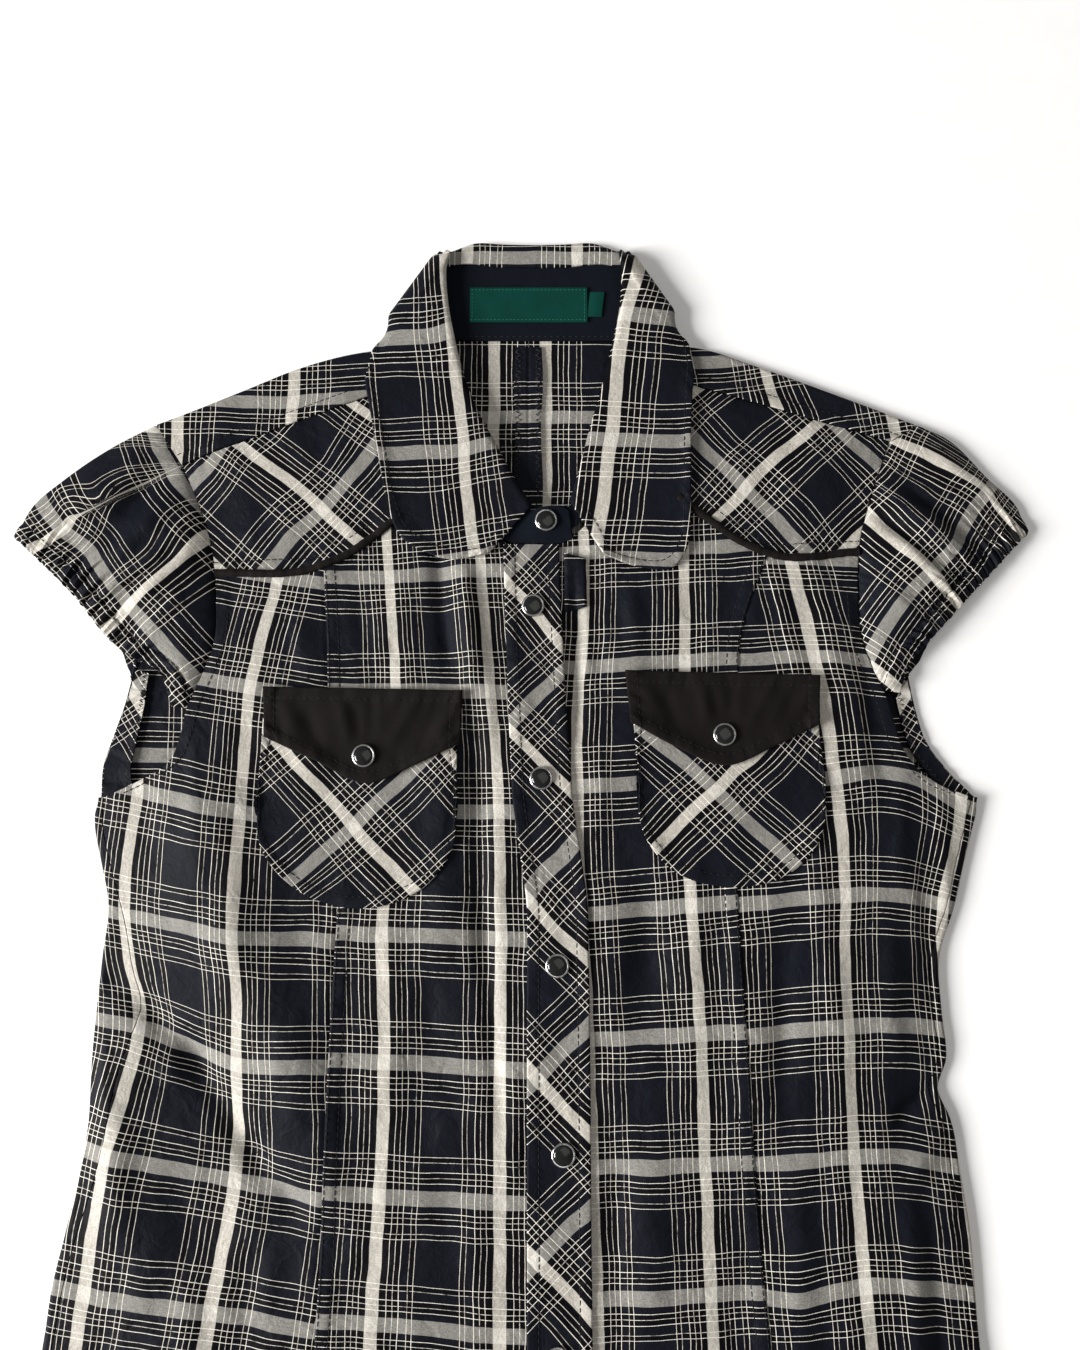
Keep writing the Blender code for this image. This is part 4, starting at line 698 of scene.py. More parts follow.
def back_grid(side):
    """The back half: across the floor, round the side to its seam, and over the shoulder to the yoke."""
    outward = OUTWARD[side]
    centre_x = CENTRE_BACK_X + outward * SEAM / 2
    wrap = len(ARC_TURNS) + len(STRIP_PARTS)
    rows = len(SECTION) + UPPER_ROWS + wrap
    columns = len(FLOOR_U) + wrap
    grid = np.full((rows, columns, 3), np.nan)
    floor = slice(0, len(FLOOR_U))
    body = grid[:len(SECTION)]
    edge_x = SECTION[:, FOLD_COLUMN[side]] - outward * FOLD
    body[:, floor, :2] = body_rows(np.full(len(SECTION), centre_x), edge_x, FLOOR_U)
    body[:, floor, 2] = 0.0
    arc = body[:, len(FLOOR_U):len(FLOOR_U) + len(ARC_TURNS)]
    roundness = 1 - FOLD_FLATTENED * ease(UNDERARM_Y - FOLD_END, UNDERARM_Y, SECTION[:, :1])
    arc[..., 0] = edge_x[:, None] + outward * FOLD * np.cos(ARC_TURNS) * roundness
    arc[..., 1] = body[:, len(FLOOR_U) - 1, 1][:, None]
    arc[..., 2] = FOLD + FOLD * np.sin(ARC_TURNS)
    strip = body[:, len(FLOOR_U) + len(ARC_TURNS):]
    strip[..., :2] = body_rows(edge_x, SECTION[:, SEAM_COLUMN[side]] + outward * SEAM / 2, STRIP_PARTS)
    strip[..., 2] = top_height(strip[..., 0], strip[..., 1])
    shoulder_u = (FLOOR_U[NECK_CORNER:] - FLOOR_U[NECK_CORNER]) / (1 - FLOOR_U[NECK_CORNER])
    fold_line, out = shoulder_frame(side, shoulder_u)
    neck = along(smooth(BACK_NECK[side]), FLOOR_U[:NECK_CORNER] / FLOOR_U[NECK_CORNER])
    neck[0, 0] = centre_x
    top = np.vstack([neck, fold_line])
    bottom = grid[len(SECTION) - 1, floor, :2]
    v = even(UPPER_ROWS)
    armhole = along(smooth(BACK_ARMHOLE[side]), v)
    armhole[0], armhole[-1] = bottom[-1], top[-1]
    centre = np.column_stack([np.full(len(v), centre_x), UNDERARM_Y + (top[0, 1] - UNDERARM_Y) * v])
    upper = patch(bottom, top, centre, armhole, FLOOR_U, v)
    first = len(SECTION)
    grid[first:first + UPPER_ROWS, floor, :2] = upper[1:]
    grid[first:first + UPPER_ROWS, floor, 2] = 0.0
    shoulder_columns = slice(NECK_CORNER, len(FLOOR_U))
    row = first + UPPER_ROWS
    for turn in ARC_TURNS:
        grid[row, shoulder_columns, :2] = fold_line + out * FOLD * math.cos(turn)
        grid[row, shoulder_columns, 2] = FOLD + FOLD * math.sin(turn)
        row += 1
    seam = along(smooth(YOKE_TOP[side])[::-1], shoulder_u)
    for part in STRIP_PARTS:
        line = fold_line + (seam - fold_line) * part
        grid[row, shoulder_columns, :2] = line
        grid[row, shoulder_columns, 2] = top_height(line[:, 0], line[:, 1])
        row += 1
    keep = np.zeros((rows - 1, columns - 1), bool)
    keep[:len(SECTION) - 1, :] = True
    keep[:len(SECTION) + UPPER_ROWS - 1, :len(FLOOR_U) - 1] = True
    keep[len(SECTION) + UPPER_ROWS - 1:, NECK_CORNER:len(FLOOR_U) - 1] = True
    return grid, keep


SIDE_FRONT_U = spaced(112.0, FINE_STEP)
CENTRE_FRONT_U = spaced(98.0, FINE_STEP, last=PLAIN_INSETS)
YOKE_PART = 0.625         # the part of a centre front's upper edge that lies along the yoke
YOKE_CORNER = int(np.argmin(np.abs(CENTRE_FRONT_U - YOKE_PART)))
UPPER_FRONT_V = spaced(118.0, ROW_STEP, PLAIN_INSETS, PLAIN_INSETS)


def butt_x(y):
    """Where the two fronts meet, under the placket."""
    return np.interp(y, np.append(SECTION[:, 0], PLACKET_TOP[0][1]),
                     np.append(SECTION[:, PLACKET_COLUMNS[0]], PLACKET_TOP[0][0])) + BUTT


def yoke_edge(side, side_parts, centre_parts):
    """The yoke's lower edge: points along the side front, then along the centre front."""
    corner = FRONT_PRINCESS[side][-1]
    side_part = np.array([FRONT_ARMHOLE[side][-1], corner], float)
    centre_part = np.array([corner, FRONT_NECK[side][0]], float)
    return along(side_part, side_parts), along(centre_part, centre_parts)


def side_front_grid(side):
    """Rows up from the hem; columns from the side to the princess seam."""
    seam_x = SECTION[:, SEAM_COLUMN[side]] - OUTWARD[side] * SEAM / 4
    body = body_rows(seam_x, SECTION[:, PRINCESS_COLUMN[side]], SIDE_FRONT_U)
    armhole = along(smooth(FRONT_ARMHOLE[side]), UPPER_FRONT_V)
    princess = along(smooth(FRONT_PRINCESS[side]), UPPER_FRONT_V)
    armhole[0], princess[0] = body[-1, 0], body[-1, -1]
    top = yoke_edge(side, SIDE_FRONT_U, (0.0, 1.0))[0]
    top[0], top[-1] = armhole[-1], princess[-1]
    return np.concatenate([body, patch(body[-1], top, armhole, princess, SIDE_FRONT_U, UPPER_FRONT_V)[1:]])


def centre_front_grid(side):
    """Rows up from the hem; columns from the princess seam to the front edge under the placket."""
    outward, u = OUTWARD[side], CENTRE_FRONT_U
    body = body_rows(SECTION[:, PRINCESS_COLUMN[side]] + outward * LAP_OVER,
                     butt_x(SECTION[:, 0]) + outward * BUTT_GAP, u)
    princess = along(smooth(FRONT_PRINCESS[side]), UPPER_FRONT_V) + np.array([outward * LAP_OVER, 0])
    neck_u = (u[YOKE_CORNER:] - u[YOKE_CORNER]) / (1 - u[YOKE_CORNER])
    neck = along(smooth(FRONT_NECK[side]), neck_u)
    top = np.vstack([yoke_edge(side, (0.0, 1.0), u[:YOKE_CORNER + 1] / u[YOKE_CORNER])[1], neck[1:]])
    ys = UNDERARM_Y + (neck[-1, 1] - UNDERARM_Y) * UPPER_FRONT_V
    front = np.column_stack([butt_x(ys) + outward * BUTT_GAP, ys])
    princess[0], front[0] = body[-1, 0], body[-1, -1]
    top[0], top[-1] = princess[-1], front[-1]
    return np.concatenate([body, patch(body[-1], top, princess, front, u, UPPER_FRONT_V)[1:]])


def yoke_grid(side):
    """Rows up from the lower edge; columns from the armhole to the neck."""
    side_part, centre_part = yoke_edge(side, spaced(62.0, FINE_STEP, last=(0.0, 2.0)),
                                       spaced(74.0, FINE_STEP, first=(0.0, 2.0), last=PLAIN_INSETS))
    bottom = np.vstack([side_part, centre_part[1:]])
    u = run_along(bottom) / run_along(bottom)[-1]
    v = spaced(78.0, FINE_STEP)
    top = along(smooth(YOKE_TOP[side]), u)
    armhole = along(smooth(YOKE_ARMHOLE[side]), v)
    neck = along(smooth(YOKE_NECK[side]), v)
    armhole[0], neck[0] = bottom[0], bottom[-1]
    top[0], top[-1] = armhole[-1], neck[-1]
    return patch(bottom, top, armhole, neck, u, v)


# ---------------------------------------------------------------- collar and stand

def ruling(row, turn, out=np.zeros(2), inset=0.0):
    """A ruling of the ring from a row of its tables: places in the plane, turn and sideways direction."""
    roll, edge, seam = np.array(row, float).reshape(3, 2)
    return dict(roll=roll - out * inset, edge=edge - out * inset, seam=seam, turn=math.radians(turn), out=out)


def ring_rows():
    """The ring's rulings, from the collar's end at the wearer's right round to the other end."""
    rows = []
    for side in (RIGHT, LEFT):
        run = np.array(NECK_SIDE[side][2:4], float) - NECK_SIDE[side][0:2]
        out = beside(run[None])[0] * OUTWARD[side]
        rows.append([ruling(row, 90) for row in NECK_FRONT[side]]
                    + [ruling(NECK_SIDE[side], turn, out, RING_FOLD) for turn in NECK_SIDE_TURNS])
    return rows[RIGHT] + [ruling(row, -90) for row in NECK_BACK] + rows[LEFT][::-1]


def stand_front_height(row, part):
    """Outer face of the stand's front half, this part of the way from its upper edge to the neck seam."""
    seam_height = max(float(top_height(*row["seam"])), STAND_SEAM_LOWEST)
    return RING_FOLD + STAND_FACE + (seam_height - RING_FOLD - STAND_FACE) * part**2


def collar_grid():
    """The collar's sheet, from the edge inside the neck, over the roll, to its outer edge."""
    grid = []
    for row in ring_rows():
        run = row["edge"] - row["roll"]
        length = np.linalg.norm(run)
        run = run / length
        faces_up = math.sin(row["turn"]) > FACES_UP
        line = []

        def add(along_run, rho):
            """A point this far along the ruling, and this far from the ring's middle plane."""
            xy = row["roll"] + run * along_run + row["out"] * rho * math.cos(row["turn"])
            line.append((xy[0], xy[1], RING_FOLD + rho * math.sin(row["turn"])))

        add(STRIP, RING_FOLD - 2 * ROLL)
        for turn in np.radians([-90, -45, 0, 45, 90]):
            add(ROLL - ROLL * math.cos(turn), RING_FOLD - ROLL + ROLL * math.sin(turn))
        edge_height = float(top_height(*row["edge"])) + LAYER + 0.2
        seam_reach = float(np.dot(row["seam"] - row["roll"], run))
        for part in SHEET_PARTS:
            reach = ROLL + (length - ROLL) * part
            add(reach, RING_FOLD)
            if faces_up:
                x, y, z = line[-1]
                low = float(top_height(x, y)) + LAYER
                if reach < seam_reach + 4.0:
                    stand_part = np.clip((reach - STAND_IN_ROLL) / (seam_reach - STAND_IN_ROLL), 0, 1)
                    low = max(low, stand_front_height(row, stand_part) + CLOTH + STAND_CLEAR)
                line[-1] = (x, y, max(z + (edge_height - z) * part**1.5, low))
        grid.append(line)
    return np.array(grid)


def stand_end_rows(side):
    """The stand's end past the collar, where one end lies over the other."""
    rows = []
    for ux, uy, lx, ly, raise_by in STAND_ENDS[side]:
        height = RING_FOLD + STAND_FACE + raise_by
        rows.append([(ux + (lx - ux) * part, uy + (ly - uy) * part, height) for part in STAND_PARTS])
    return rows


def stand_grid():
    """The stand, from its end at the wearer's right round the neck to its other end."""
    grid = []
    rows = ring_rows()
    for number, row in enumerate(rows):
        run = (row["edge"] - row["roll"]) / np.linalg.norm(row["edge"] - row["roll"])
        at_end = number in (0, len(rows) - 1)
        upper = row["roll"] + run * (STAND_IN_ROLL_END if at_end else STAND_IN_ROLL)
        seam_reach = float(np.dot(row["seam"] - row["roll"], run))
        under_strip = row["roll"] + run * min(STRIP + 2.0, 0.6 * seam_reach)
        line = []
        for part in STAND_PARTS:
            if part < STAND_PARTS[1]:
                xy = upper
            else:
                past = (part - STAND_PARTS[1]) / (1 - STAND_PARTS[1])
                xy = under_strip + (row["seam"] - under_strip) * past
            xy = xy + row["out"] * STAND_FACE * math.cos(row["turn"])
            z = RING_FOLD + STAND_FACE * math.sin(row["turn"])
            if math.sin(row["turn"]) > FACES_UP:
                z = stand_front_height(row, part)
            line.append((xy[0], xy[1], z))
        grid.append(line)
    return np.array(stand_end_rows(RIGHT) + grid + stand_end_rows(LEFT)[::-1])


# ---------------------------------------------------------------- sleeves

SLEEVE_U = spaced(72.0, 2.1, PLAIN_INSETS, (0.0, 0.3, 0.9, 2.0, 4.0, 6.0, 8.0, 9.3, 10.0, 10.7, 12.0))
SLEEVE_TURNS = np.radians([60, 30, 0, -30, -60])
SLEEVE_ROWS, SLEEVE_UNDER_ROWS = 150, 70
BAND_WIDTH = 10.0         # elastic band at the hem
BAND_START = 0.84         # it starts this part of the way from the armhole


def armhole_edges(side, panels):
    """The sleeve's seam on the front, round the shoulder fold, and on the back."""
    back, side_front, yoke = panels
    clear = np.array([OUTWARD[side] * -SLEEVE_TUCK, 0.0, 0.0])
    corner = len(FLOOR_U) - 1
    first_turn = len(SECTION) + UPPER_ROWS
    last_turn = first_turn + len(ARC_TURNS) - 1
    low = FRONT_ARMHOLE[side][SLEEVE_END_ROW][1]
    edge = side_front[len(SECTION) - 1:, :1]
    front = lift(edge[edge[:, 0, 1] >= low])[:, 0]
    upper = lift(yoke[:, :1])[:, 0]
    strip = back[last_turn:, corner][::-1]
    around = back[first_turn:last_turn, corner][::-1]
    under = back[len(SECTION) - 1:first_turn, corner][::-1]
    under = under[under[:, 1] > SLEEVE_UNDER_LOWEST]
    return np.vstack([front, upper[1:], strip[1:]]) + clear, around + clear, under + clear


def sleeve_top(side, seam_line, fold_line):
    """Rows from the front's low end to the fold, each from the armhole to the hem."""
    u, v = SLEEVE_U, even(SLEEVE_ROWS)
    seam = along(seam_line, v)
    hem = along(smooth(SLEEVE_HEM[side]), v)
    fold_line = fold_line.copy()
    fold_line[0], fold_line[-1] = seam[-1, :2], hem[-1]
    low_end = seam[0, :2] + (hem[0] - seam[0, :2]) * u[:, None]
    xy = patch(low_end, fold_line, seam[:, :2], hem, u, v)
    bow = np.sin(math.pi * v)
    hem_z = 2 * FOLD + HEM_LOFT * bow**0.7 + (seam[0, 2] - 2 * FOLD) * (1 - v) ** 2
    swell = bow[:, None] ** 0.8 * np.sin(math.pi * u**0.8)[None]
    z = seam[:, 2][:, None] * (1 - u) + hem_z[:, None] * u + PUFF * swell
    z = z + swell**0.5 * drape(SLEEVE_DRAPE[side], xy[..., 0], xy[..., 1])
    creases = SLEEVE_CREASE_GAIN * drape(SLEEVE_WRINKLES[side], xy[..., 0], xy[..., 1])
    z = z + swell**0.6 * (creases + crumple(xy[..., 0], xy[..., 1]))
    z = z + GATHER_HEIGHT * sleeve_gathers(v, u, TOP_GATHERS, 7 + side)
    z = z + FINE_GATHER * sleeve_gathers(v, u, FINE_GATHERS, 9 + side)
    z[-1] = 2 * FOLD
    return np.dstack([xy, z]), fold_line


def sleeve_fold(side):
    """Points of the outer fold's middle line in the plane, and its outward direction."""
    line = along(smooth(SLEEVE_FOLD[side]), SLEEVE_U)
    out = beside(np.gradient(line, SLEEVE_U, axis=0)) * OUTWARD[side]
    return line - out * FOLD, out


def sleeve_under(side, seam_line, fold_line):
    """Rows from the fold to the back's low end, flat on the surface but for the hem's gathers."""
    u, v = SLEEVE_U, even(SLEEVE_UNDER_ROWS)
    seam = along(seam_line[:, :2], v)
    hem = along(smooth(SLEEVE_UNDER_HEM[side]), v)
    fold_line = fold_line.copy()
    fold_line[0], fold_line[-1] = seam[0], hem[0]
    low_end = seam[-1] + (hem[-1] - seam[-1]) * u[:, None]
    xy = patch(fold_line, low_end, seam, hem, u, v)
    waves = sleeve_gathers(v, u, UNDER_GATHERS, 17 + side)
    reach = np.clip((u - UNDER_GATHER_START) / (1 - UNDER_GATHER_START), 0, 1)
    z = UNDER_GATHER_HEIGHT * np.clip(waves + 1, 0, None) * reach
    z[0] = 0.0
    return np.dstack([xy, z])


# ---------------------------------------------------------------- cloth

# How an edge is sewn: height that the layers add and how far in, rounding of the edge, distances of the
# lines of stitches, depth of their groove, height and reach of the puckers
SEWN = {
    "lap": dict(raised=0.55, wide=6.5, rounding=0.6, stitches=(6.5,), groove=0.5, pucker=0.32, reach=6.0),
    "turned": dict(raised=0.5, wide=6.0, rounding=0.8, stitches=(6.0,), groove=0.45, pucker=0.32, reach=6.0),
    "hem": dict(raised=0.45, wide=8.0, rounding=0.8, stitches=(8.0,), groove=0.4, pucker=0.3, reach=7.0),
    "elastic": dict(raised=0.5, wide=9.5, rounding=0.7, stitches=(10.0,), groove=1.1, pucker=0.45, reach=6.0),
    "under": dict(raised=-0.35, wide=0.6, rounding=0.5, stitches=(), groove=0.0, pucker=0.25, reach=8.0),
    "ditch": dict(raised=0.0, wide=1.0, rounding=0.6, stitches=(), groove=0.0, pucker=0.22, reach=6.0),
    "turned in": dict(raised=0.4, wide=7.0, rounding=0.7, stitches=(7.0,), groove=0.4, pucker=0.28, reach=6.0),
    "piped": dict(raised=0.35, wide=6.0, rounding=0.3, stitches=(6.0,), groove=0.45, pucker=0.3, reach=5.0),
}
MATERIAL_OF = {"plaid": "plaid_cloth", "black_twill": "twill_cloth", "navy_cotton": "stand_cloth",
               "green_label": "label_cloth"}
SHOWN_CLOTH = 0.9         # thickness of the cloth as shown
GROOVE_WIDTH = 1.0
RIPPLES = ((5.1, 1.0), (7.7, 0.9), (12.9, 0.8), (3.7, 0.45))    # wavelength and share of the puckers

# Thread: radius, length of a stitch and its gap, height of its middle line above the cloth
THREAD, STITCH, STITCH_GAP, THREAD_LIFT = 0.24, 2.5, 0.7, 0.05
# Places along a stitch: part of its length, part of its thickness, height
STITCH_FORM = [(0.0, 0.35, -0.22), (0.12, 1.0, 0.0), (0.5, 1.0, 0.06), (0.88, 1.0, 0.0), (1.0, 0.35, -0.22)]
EDGE_STITCH = 1.3         # a second line of stitches lies this close to a lapped seam's edge
COLLAR_STITCH = 6.0
CORNERS = ((0, 0), (0, 1), (1, 0), (1, 1))    # of a cell of a grid


def grid_normals(grid, facing, keep):
    """Directions square to a grid of points, away from the cloth."""
    a, b, c, d = grid[:-1, :-1], grid[:-1, 1:], grid[1:, 1:], grid[1:, :-1]
    cell = np.where(keep[..., None], np.cross(c - a, d - b) * facing, 0.0)
    total = np.zeros(grid.shape)
    for up, across in CORNERS:
        total[up:len(keep) + up, across:keep.shape[1] + across] += cell
    return total / np.maximum(np.linalg.norm(total, axis=2), 1e-12)[..., None]


def edge_measures(grid, edge):
    """Distance of each point from an edge, and how far along the edge it lies."""
    if edge in ("bottom", "top"):
        distance_in, run = edge_measures(np.swapaxes(grid, 0, 1), {"bottom": "left", "top": "right"}[edge])
        return distance_in.T, run.T
    across = np.linalg.norm(np.diff(grid, axis=1), axis=2)
    across = np.concatenate([np.zeros((len(grid), 1)), np.cumsum(across, axis=1)], axis=1)
    if edge == "right":
        across = across[:, -1:] - across
    run = run_along(grid[:, 0] if edge == "left" else grid[:, -1])
    return across, np.repeat(run[:, None], grid.shape[1], axis=1)


def ripple(run, seed):
    """Uneven ridges along a seam, from about -1 to 1."""
    draw = np.random.default_rng(seed)
    total = np.zeros(np.shape(run))
    for length, share in RIPPLES:
        total += share * np.sin(2 * math.pi * run / length + draw.uniform(0, 6.28)
                                + 1.4 * np.sin(2 * math.pi * run / (length * 4.3) + draw.uniform(0, 6.28)))
    return total / 1.9


def relief(grid, sewn, seed):
    """Height that the sewing gives the cloth near its edges."""
    total = np.zeros(grid.shape[:2])
    for number, (edge, kind) in enumerate(sewn.items()):
        how = SEWN[kind]
        inside, run = edge_measures(grid, edge)
        total += how["raised"] * (1 - ease(how["wide"], how["wide"] + 2.0, inside))
        close = np.clip(1 - inside / how["rounding"], 0, 1)
        total -= how["rounding"] * (1 - np.sqrt(1 - close**2))
        for line in how["stitches"]:
            total -= how["groove"] * np.exp(-(((inside - line) / GROOVE_WIDTH) ** 2))
        middle = how["wide"] * 0.55
        waves = ripple(run + 0.25 * inside, seed * 10 + number)
        total += how["pucker"] * waves * np.exp(-(((inside - middle) / how["reach"]) ** 2))
    return total


def inset_line(grid, edge, distance_in):
    """The line on a grid of points at this distance from one of its edges."""
    if edge in ("bottom", "top"):
        return inset_line(np.swapaxes(grid, 0, 1), {"bottom": "left", "top": "right"}[edge], distance_in)
    inside, _ = edge_measures(grid, edge)
    if edge == "right":
        grid, inside = grid[:, ::-1], inside[:, ::-1]
    return np.array([[np.interp(distance_in, inside[j], grid[j, :, k]) for k in range(grid.shape[2])]
                     for j in range(len(grid))])


def place(name, vertices, faces, materials, nodes=(), slot=None, uv=None, face_material=None, sharp=50):
    """Makes a piece from points in millimetres, that rides with the shirt and stands for its nodes."""
    mesh = bpy.data.meshes.new(name)
    points = np.asarray(vertices, float) * MM
    points[:, 2] = np.maximum(points[:, 2], 0.0)
    mesh.from_pydata(points.tolist(), [], [tuple(map(int, f)) for f in faces])
    for material in materials:
        mesh.materials.append(bpy.data.materials[material])
    if face_material is not None:
        mesh.polygons.foreach_set("material_index", np.asarray(face_material, np.int32))
    if uv is not None:
        layer = mesh.uv_layers.new(name="grain")
        corners = np.zeros(len(mesh.loops), np.int32)
        mesh.loops.foreach_get("vertex_index", corners)
        layer.data.foreach_set("uv", np.asarray(uv, np.float32)[corners].ravel())
    mesh.shade_smooth()
    mesh.set_sharp_from_angle(angle=math.radians(sharp))
    mesh.validate()
    piece = bpy.data.objects.new(name, mesh)
    bpy.context.scene.collection.objects.link(piece)
    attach(piece, "root")
    if nodes:
        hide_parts(*nodes)
    return piece


def cloth(name, grid, uv, slot, facing=1.0, keep=None, sewn=None, seed=0,
          thickness=SHOWN_CLOTH, extra=None, stands_for_node=True):
    """Makes a sheet of cloth as a closed thin shell under a grid of points. Gives its shaped grid."""
    rows, columns = grid.shape[:2]
    keep = np.ones((rows - 1, columns - 1), bool) if keep is None else keep
    grid = np.nan_to_num(grid)
    height = relief(grid, sewn, seed) if sewn else np.zeros((rows, columns))
    if extra is not None:
        height = height + extra
    grid = grid + grid_normals(grid, facing, keep) * height[..., None]
    grid[..., 2] = np.maximum(grid[..., 2], 0.0)
    normals = grid_normals(grid, facing, keep)
    used = np.zeros((rows, columns), bool)
    for up, across in CORNERS:
        used[up:rows - 1 + up, across:columns - 1 + across] |= keep
    count = int(used.sum())
    index = np.full((rows, columns), -1)
    index[used] = np.arange(count)
    quads = np.stack([index[:-1, :-1], index[:-1, 1:], index[1:, 1:], index[1:, :-1]], axis=-1)[keep]
    if facing < 0:
        quads = quads[:, ::-1]
    edges = np.concatenate([quads[:, [k, (k + 1) % 4]] for k in range(4)])
    keys = edges.min(axis=1) * (count + 1) + edges.max(axis=1)
    _, first, times = np.unique(keys, return_index=True, return_counts=True)
    rim = edges[first[times == 1]]
    walls = np.column_stack([rim[:, 1], rim[:, 0], rim[:, 0] + count, rim[:, 1] + count])
    faces = np.vstack([quads, quads[:, ::-1] + count, walls])
    vertices = np.vstack([grid[used], grid[used] - normals[used] * thickness])
    piece = place(name + "_cloth", vertices, faces, [MATERIAL_OF[slot]], [name] if stands_for_node else [],
                  slot, uv=np.vstack([uv[used]] * 2))
    width, length, area = CUTS[name]
    area and area * 1e-4
    return grid


def ring_faces(rings, sides, first=0):
    """Faces between rings of points, each with this many, that follow each other."""
    return [(low + k, low + (k + 1) % sides, low + sides + (k + 1) % sides, low + sides + k)
            for low in range(first, first + (rings - 1) * sides, sides) for k in range(sides)]


def stitch_rows(name, lines, material="thread", slot="black_twill", radius=THREAD, stitch=STITCH,
                gap=STITCH_GAP):
    """Rows of stitches, each a short bar of thread, along lines of points on the cloth."""
    vertices, faces = [], []
    shares = np.array([share for share, _, _ in STITCH_FORM])
    for line in lines:
        run = run_along(line)
        count = max(1, int((run[-1] - gap) / (stitch + gap)))
        for start in gap + np.arange(count) * (run[-1] - gap) / count:
            spots = np.column_stack([np.interp(start + shares * stitch, run, line[:, k]) for k in range(3)])
            ahead = spots[-1] - spots[0]
            size = np.linalg.norm(ahead)
            if size < 0.2 * stitch:
                continue
            ahead = ahead / size
            side = np.cross((0.0, 0.0, 1.0), ahead)
            side /= max(np.linalg.norm(side), 1e-9)
            over = np.cross(ahead, side)
            first = len(vertices)
            for spot, (_, width, height) in zip(spots, STITCH_FORM):
                middle = spot + over * (THREAD_LIFT + height)
                vertices += [middle + turn * radius * width for turn in (side, over, -side, -over)]
            faces += ring_faces(len(STITCH_FORM), 4, first)
            end = len(vertices) - 4
            faces += [(first + 3, first + 2, first + 1, first), (end, end + 1, end + 2, end + 3)]
    place(name, np.array(vertices), faces, [material], slot=slot, sharp=80)


def sewn_lines(grid, sewn):
    """The lines of stitches of a piece."""
    return [inset_line(grid, edge, line) for edge, kind in sewn.items() for line in SEWN[kind]["stitches"]]


# Cut of what shows of each sheet: width and length in millimetres, and its area in square centimetres
# where it isn't a rectangle
CUTS = {
    "back_right": (242, 560, 1199), "back_left": (240, 560, 1154),
    "side_front_right": (133, 455, 444), "side_front_left": (120, 462, 401),
    "centre_front_right": (106, 500, 459), "centre_front_left": (122, 510, 513),
    "front_yoke_right": (130, 92, 87.5), "front_yoke_left": (130, 92, 83),
    "placket": (32, 465, 142), "underlap_end": (12, 31, 3.2),
    "collar": (470, 95, 270), "collar_stand": (400, 52, 128),
    "sleeve_right": (195, 100, 144), "sleeve_left": (190, 95, 124),
    "pocket_right": (97, 104, 89), "pocket_left": (96, 102, 83),
    "pocket_flap_right": (99, 49, 36), "pocket_flap_left": (97, 49, 36),
    "centre_back_seam": (14, 149, 20.8), "neck_label": (61, 19, 11.5), "size_tab": (10, 15, None),
    "armhole_facing_right": (18, 70, 8.2), "armhole_facing_left": (18, 70, 6.2),
}


BACK_SEAM_GRAIN = 17.0    # grain of the seam's allowance: between the wide stripes
BACK_BEND, BACK_BEND_Y = 30.0, (190.0, 60.0)  # the back's grain leans in by this between these heights
# Facings of the armholes: widths up from the underarm, and at which parts of their length they are
FACING_WIDTH = [(15.0, 12.0, 7.0), (8.0, 8.5, 7.0)]
FACING_WIDTH_AT = (0.0, 0.4, 1.0)
FACING_TOP = 90.0
FACING_IN = 1.2           # in from the armhole's edge
FACING_ACROSS = np.array([0.0, 0.06, 0.2, 0.35, 0.5, 0.65, 0.8, 0.93, 1.0])
FACING_TURN = 0.6         # grain of the facings, in radians


def make_facings():
    """The armholes' allowances, turned in along the back's armholes below the sleeves."""
    loops = []
    for side in (RIGHT, LEFT):
        outward = OUTWARD[side]
        edge = smooth(BACK_ARMHOLE[side])
        edge = along(edge[edge[:, 1] <= FACING_TOP], even(40)) - np.array([outward * FACING_IN, 0.0])
        inward = beside(np.gradient(edge, axis=0)) * outward
        wide = np.interp(even(40), FACING_WIDTH_AT, FACING_WIDTH[side])
        across = FACING_ACROSS[None]
        flat = edge[:, None] + inward[:, None] * wide[:, None, None] * across[..., None]
        run = np.linspace(0, 70, len(edge))[:, None]
        z = SHOWN_CLOTH + 0.9 + 0.8 * across**2 + 0.35 * ripple(run + 3 * across, 5 + side)
        x, y = flat[..., 0], flat[..., 1]
        cos, sin = math.cos(FACING_TURN), math.sin(FACING_TURN) * outward
        shaped = cloth("armhole_facing_" + SIDE_NAME[side], np.dstack([flat, z]),
                       np.dstack([x * cos - y * sin, x * sin + y * cos]) / REPEAT, "plaid",
                       outward, thickness=0.6, stands_for_node=False)
        zigzag = along(shaped[:, -1], even(52))
        zigzag[::2, :2] -= np.repeat(inward, 2, axis=0)[:len(zigzag):2] * 3.0
        loops.append(zigzag + np.array([0.0, 0.0, 0.25]))
    stitch_rows("thread_facings", loops, "thread_dark", radius=0.3, stitch=2.7, gap=0.2)


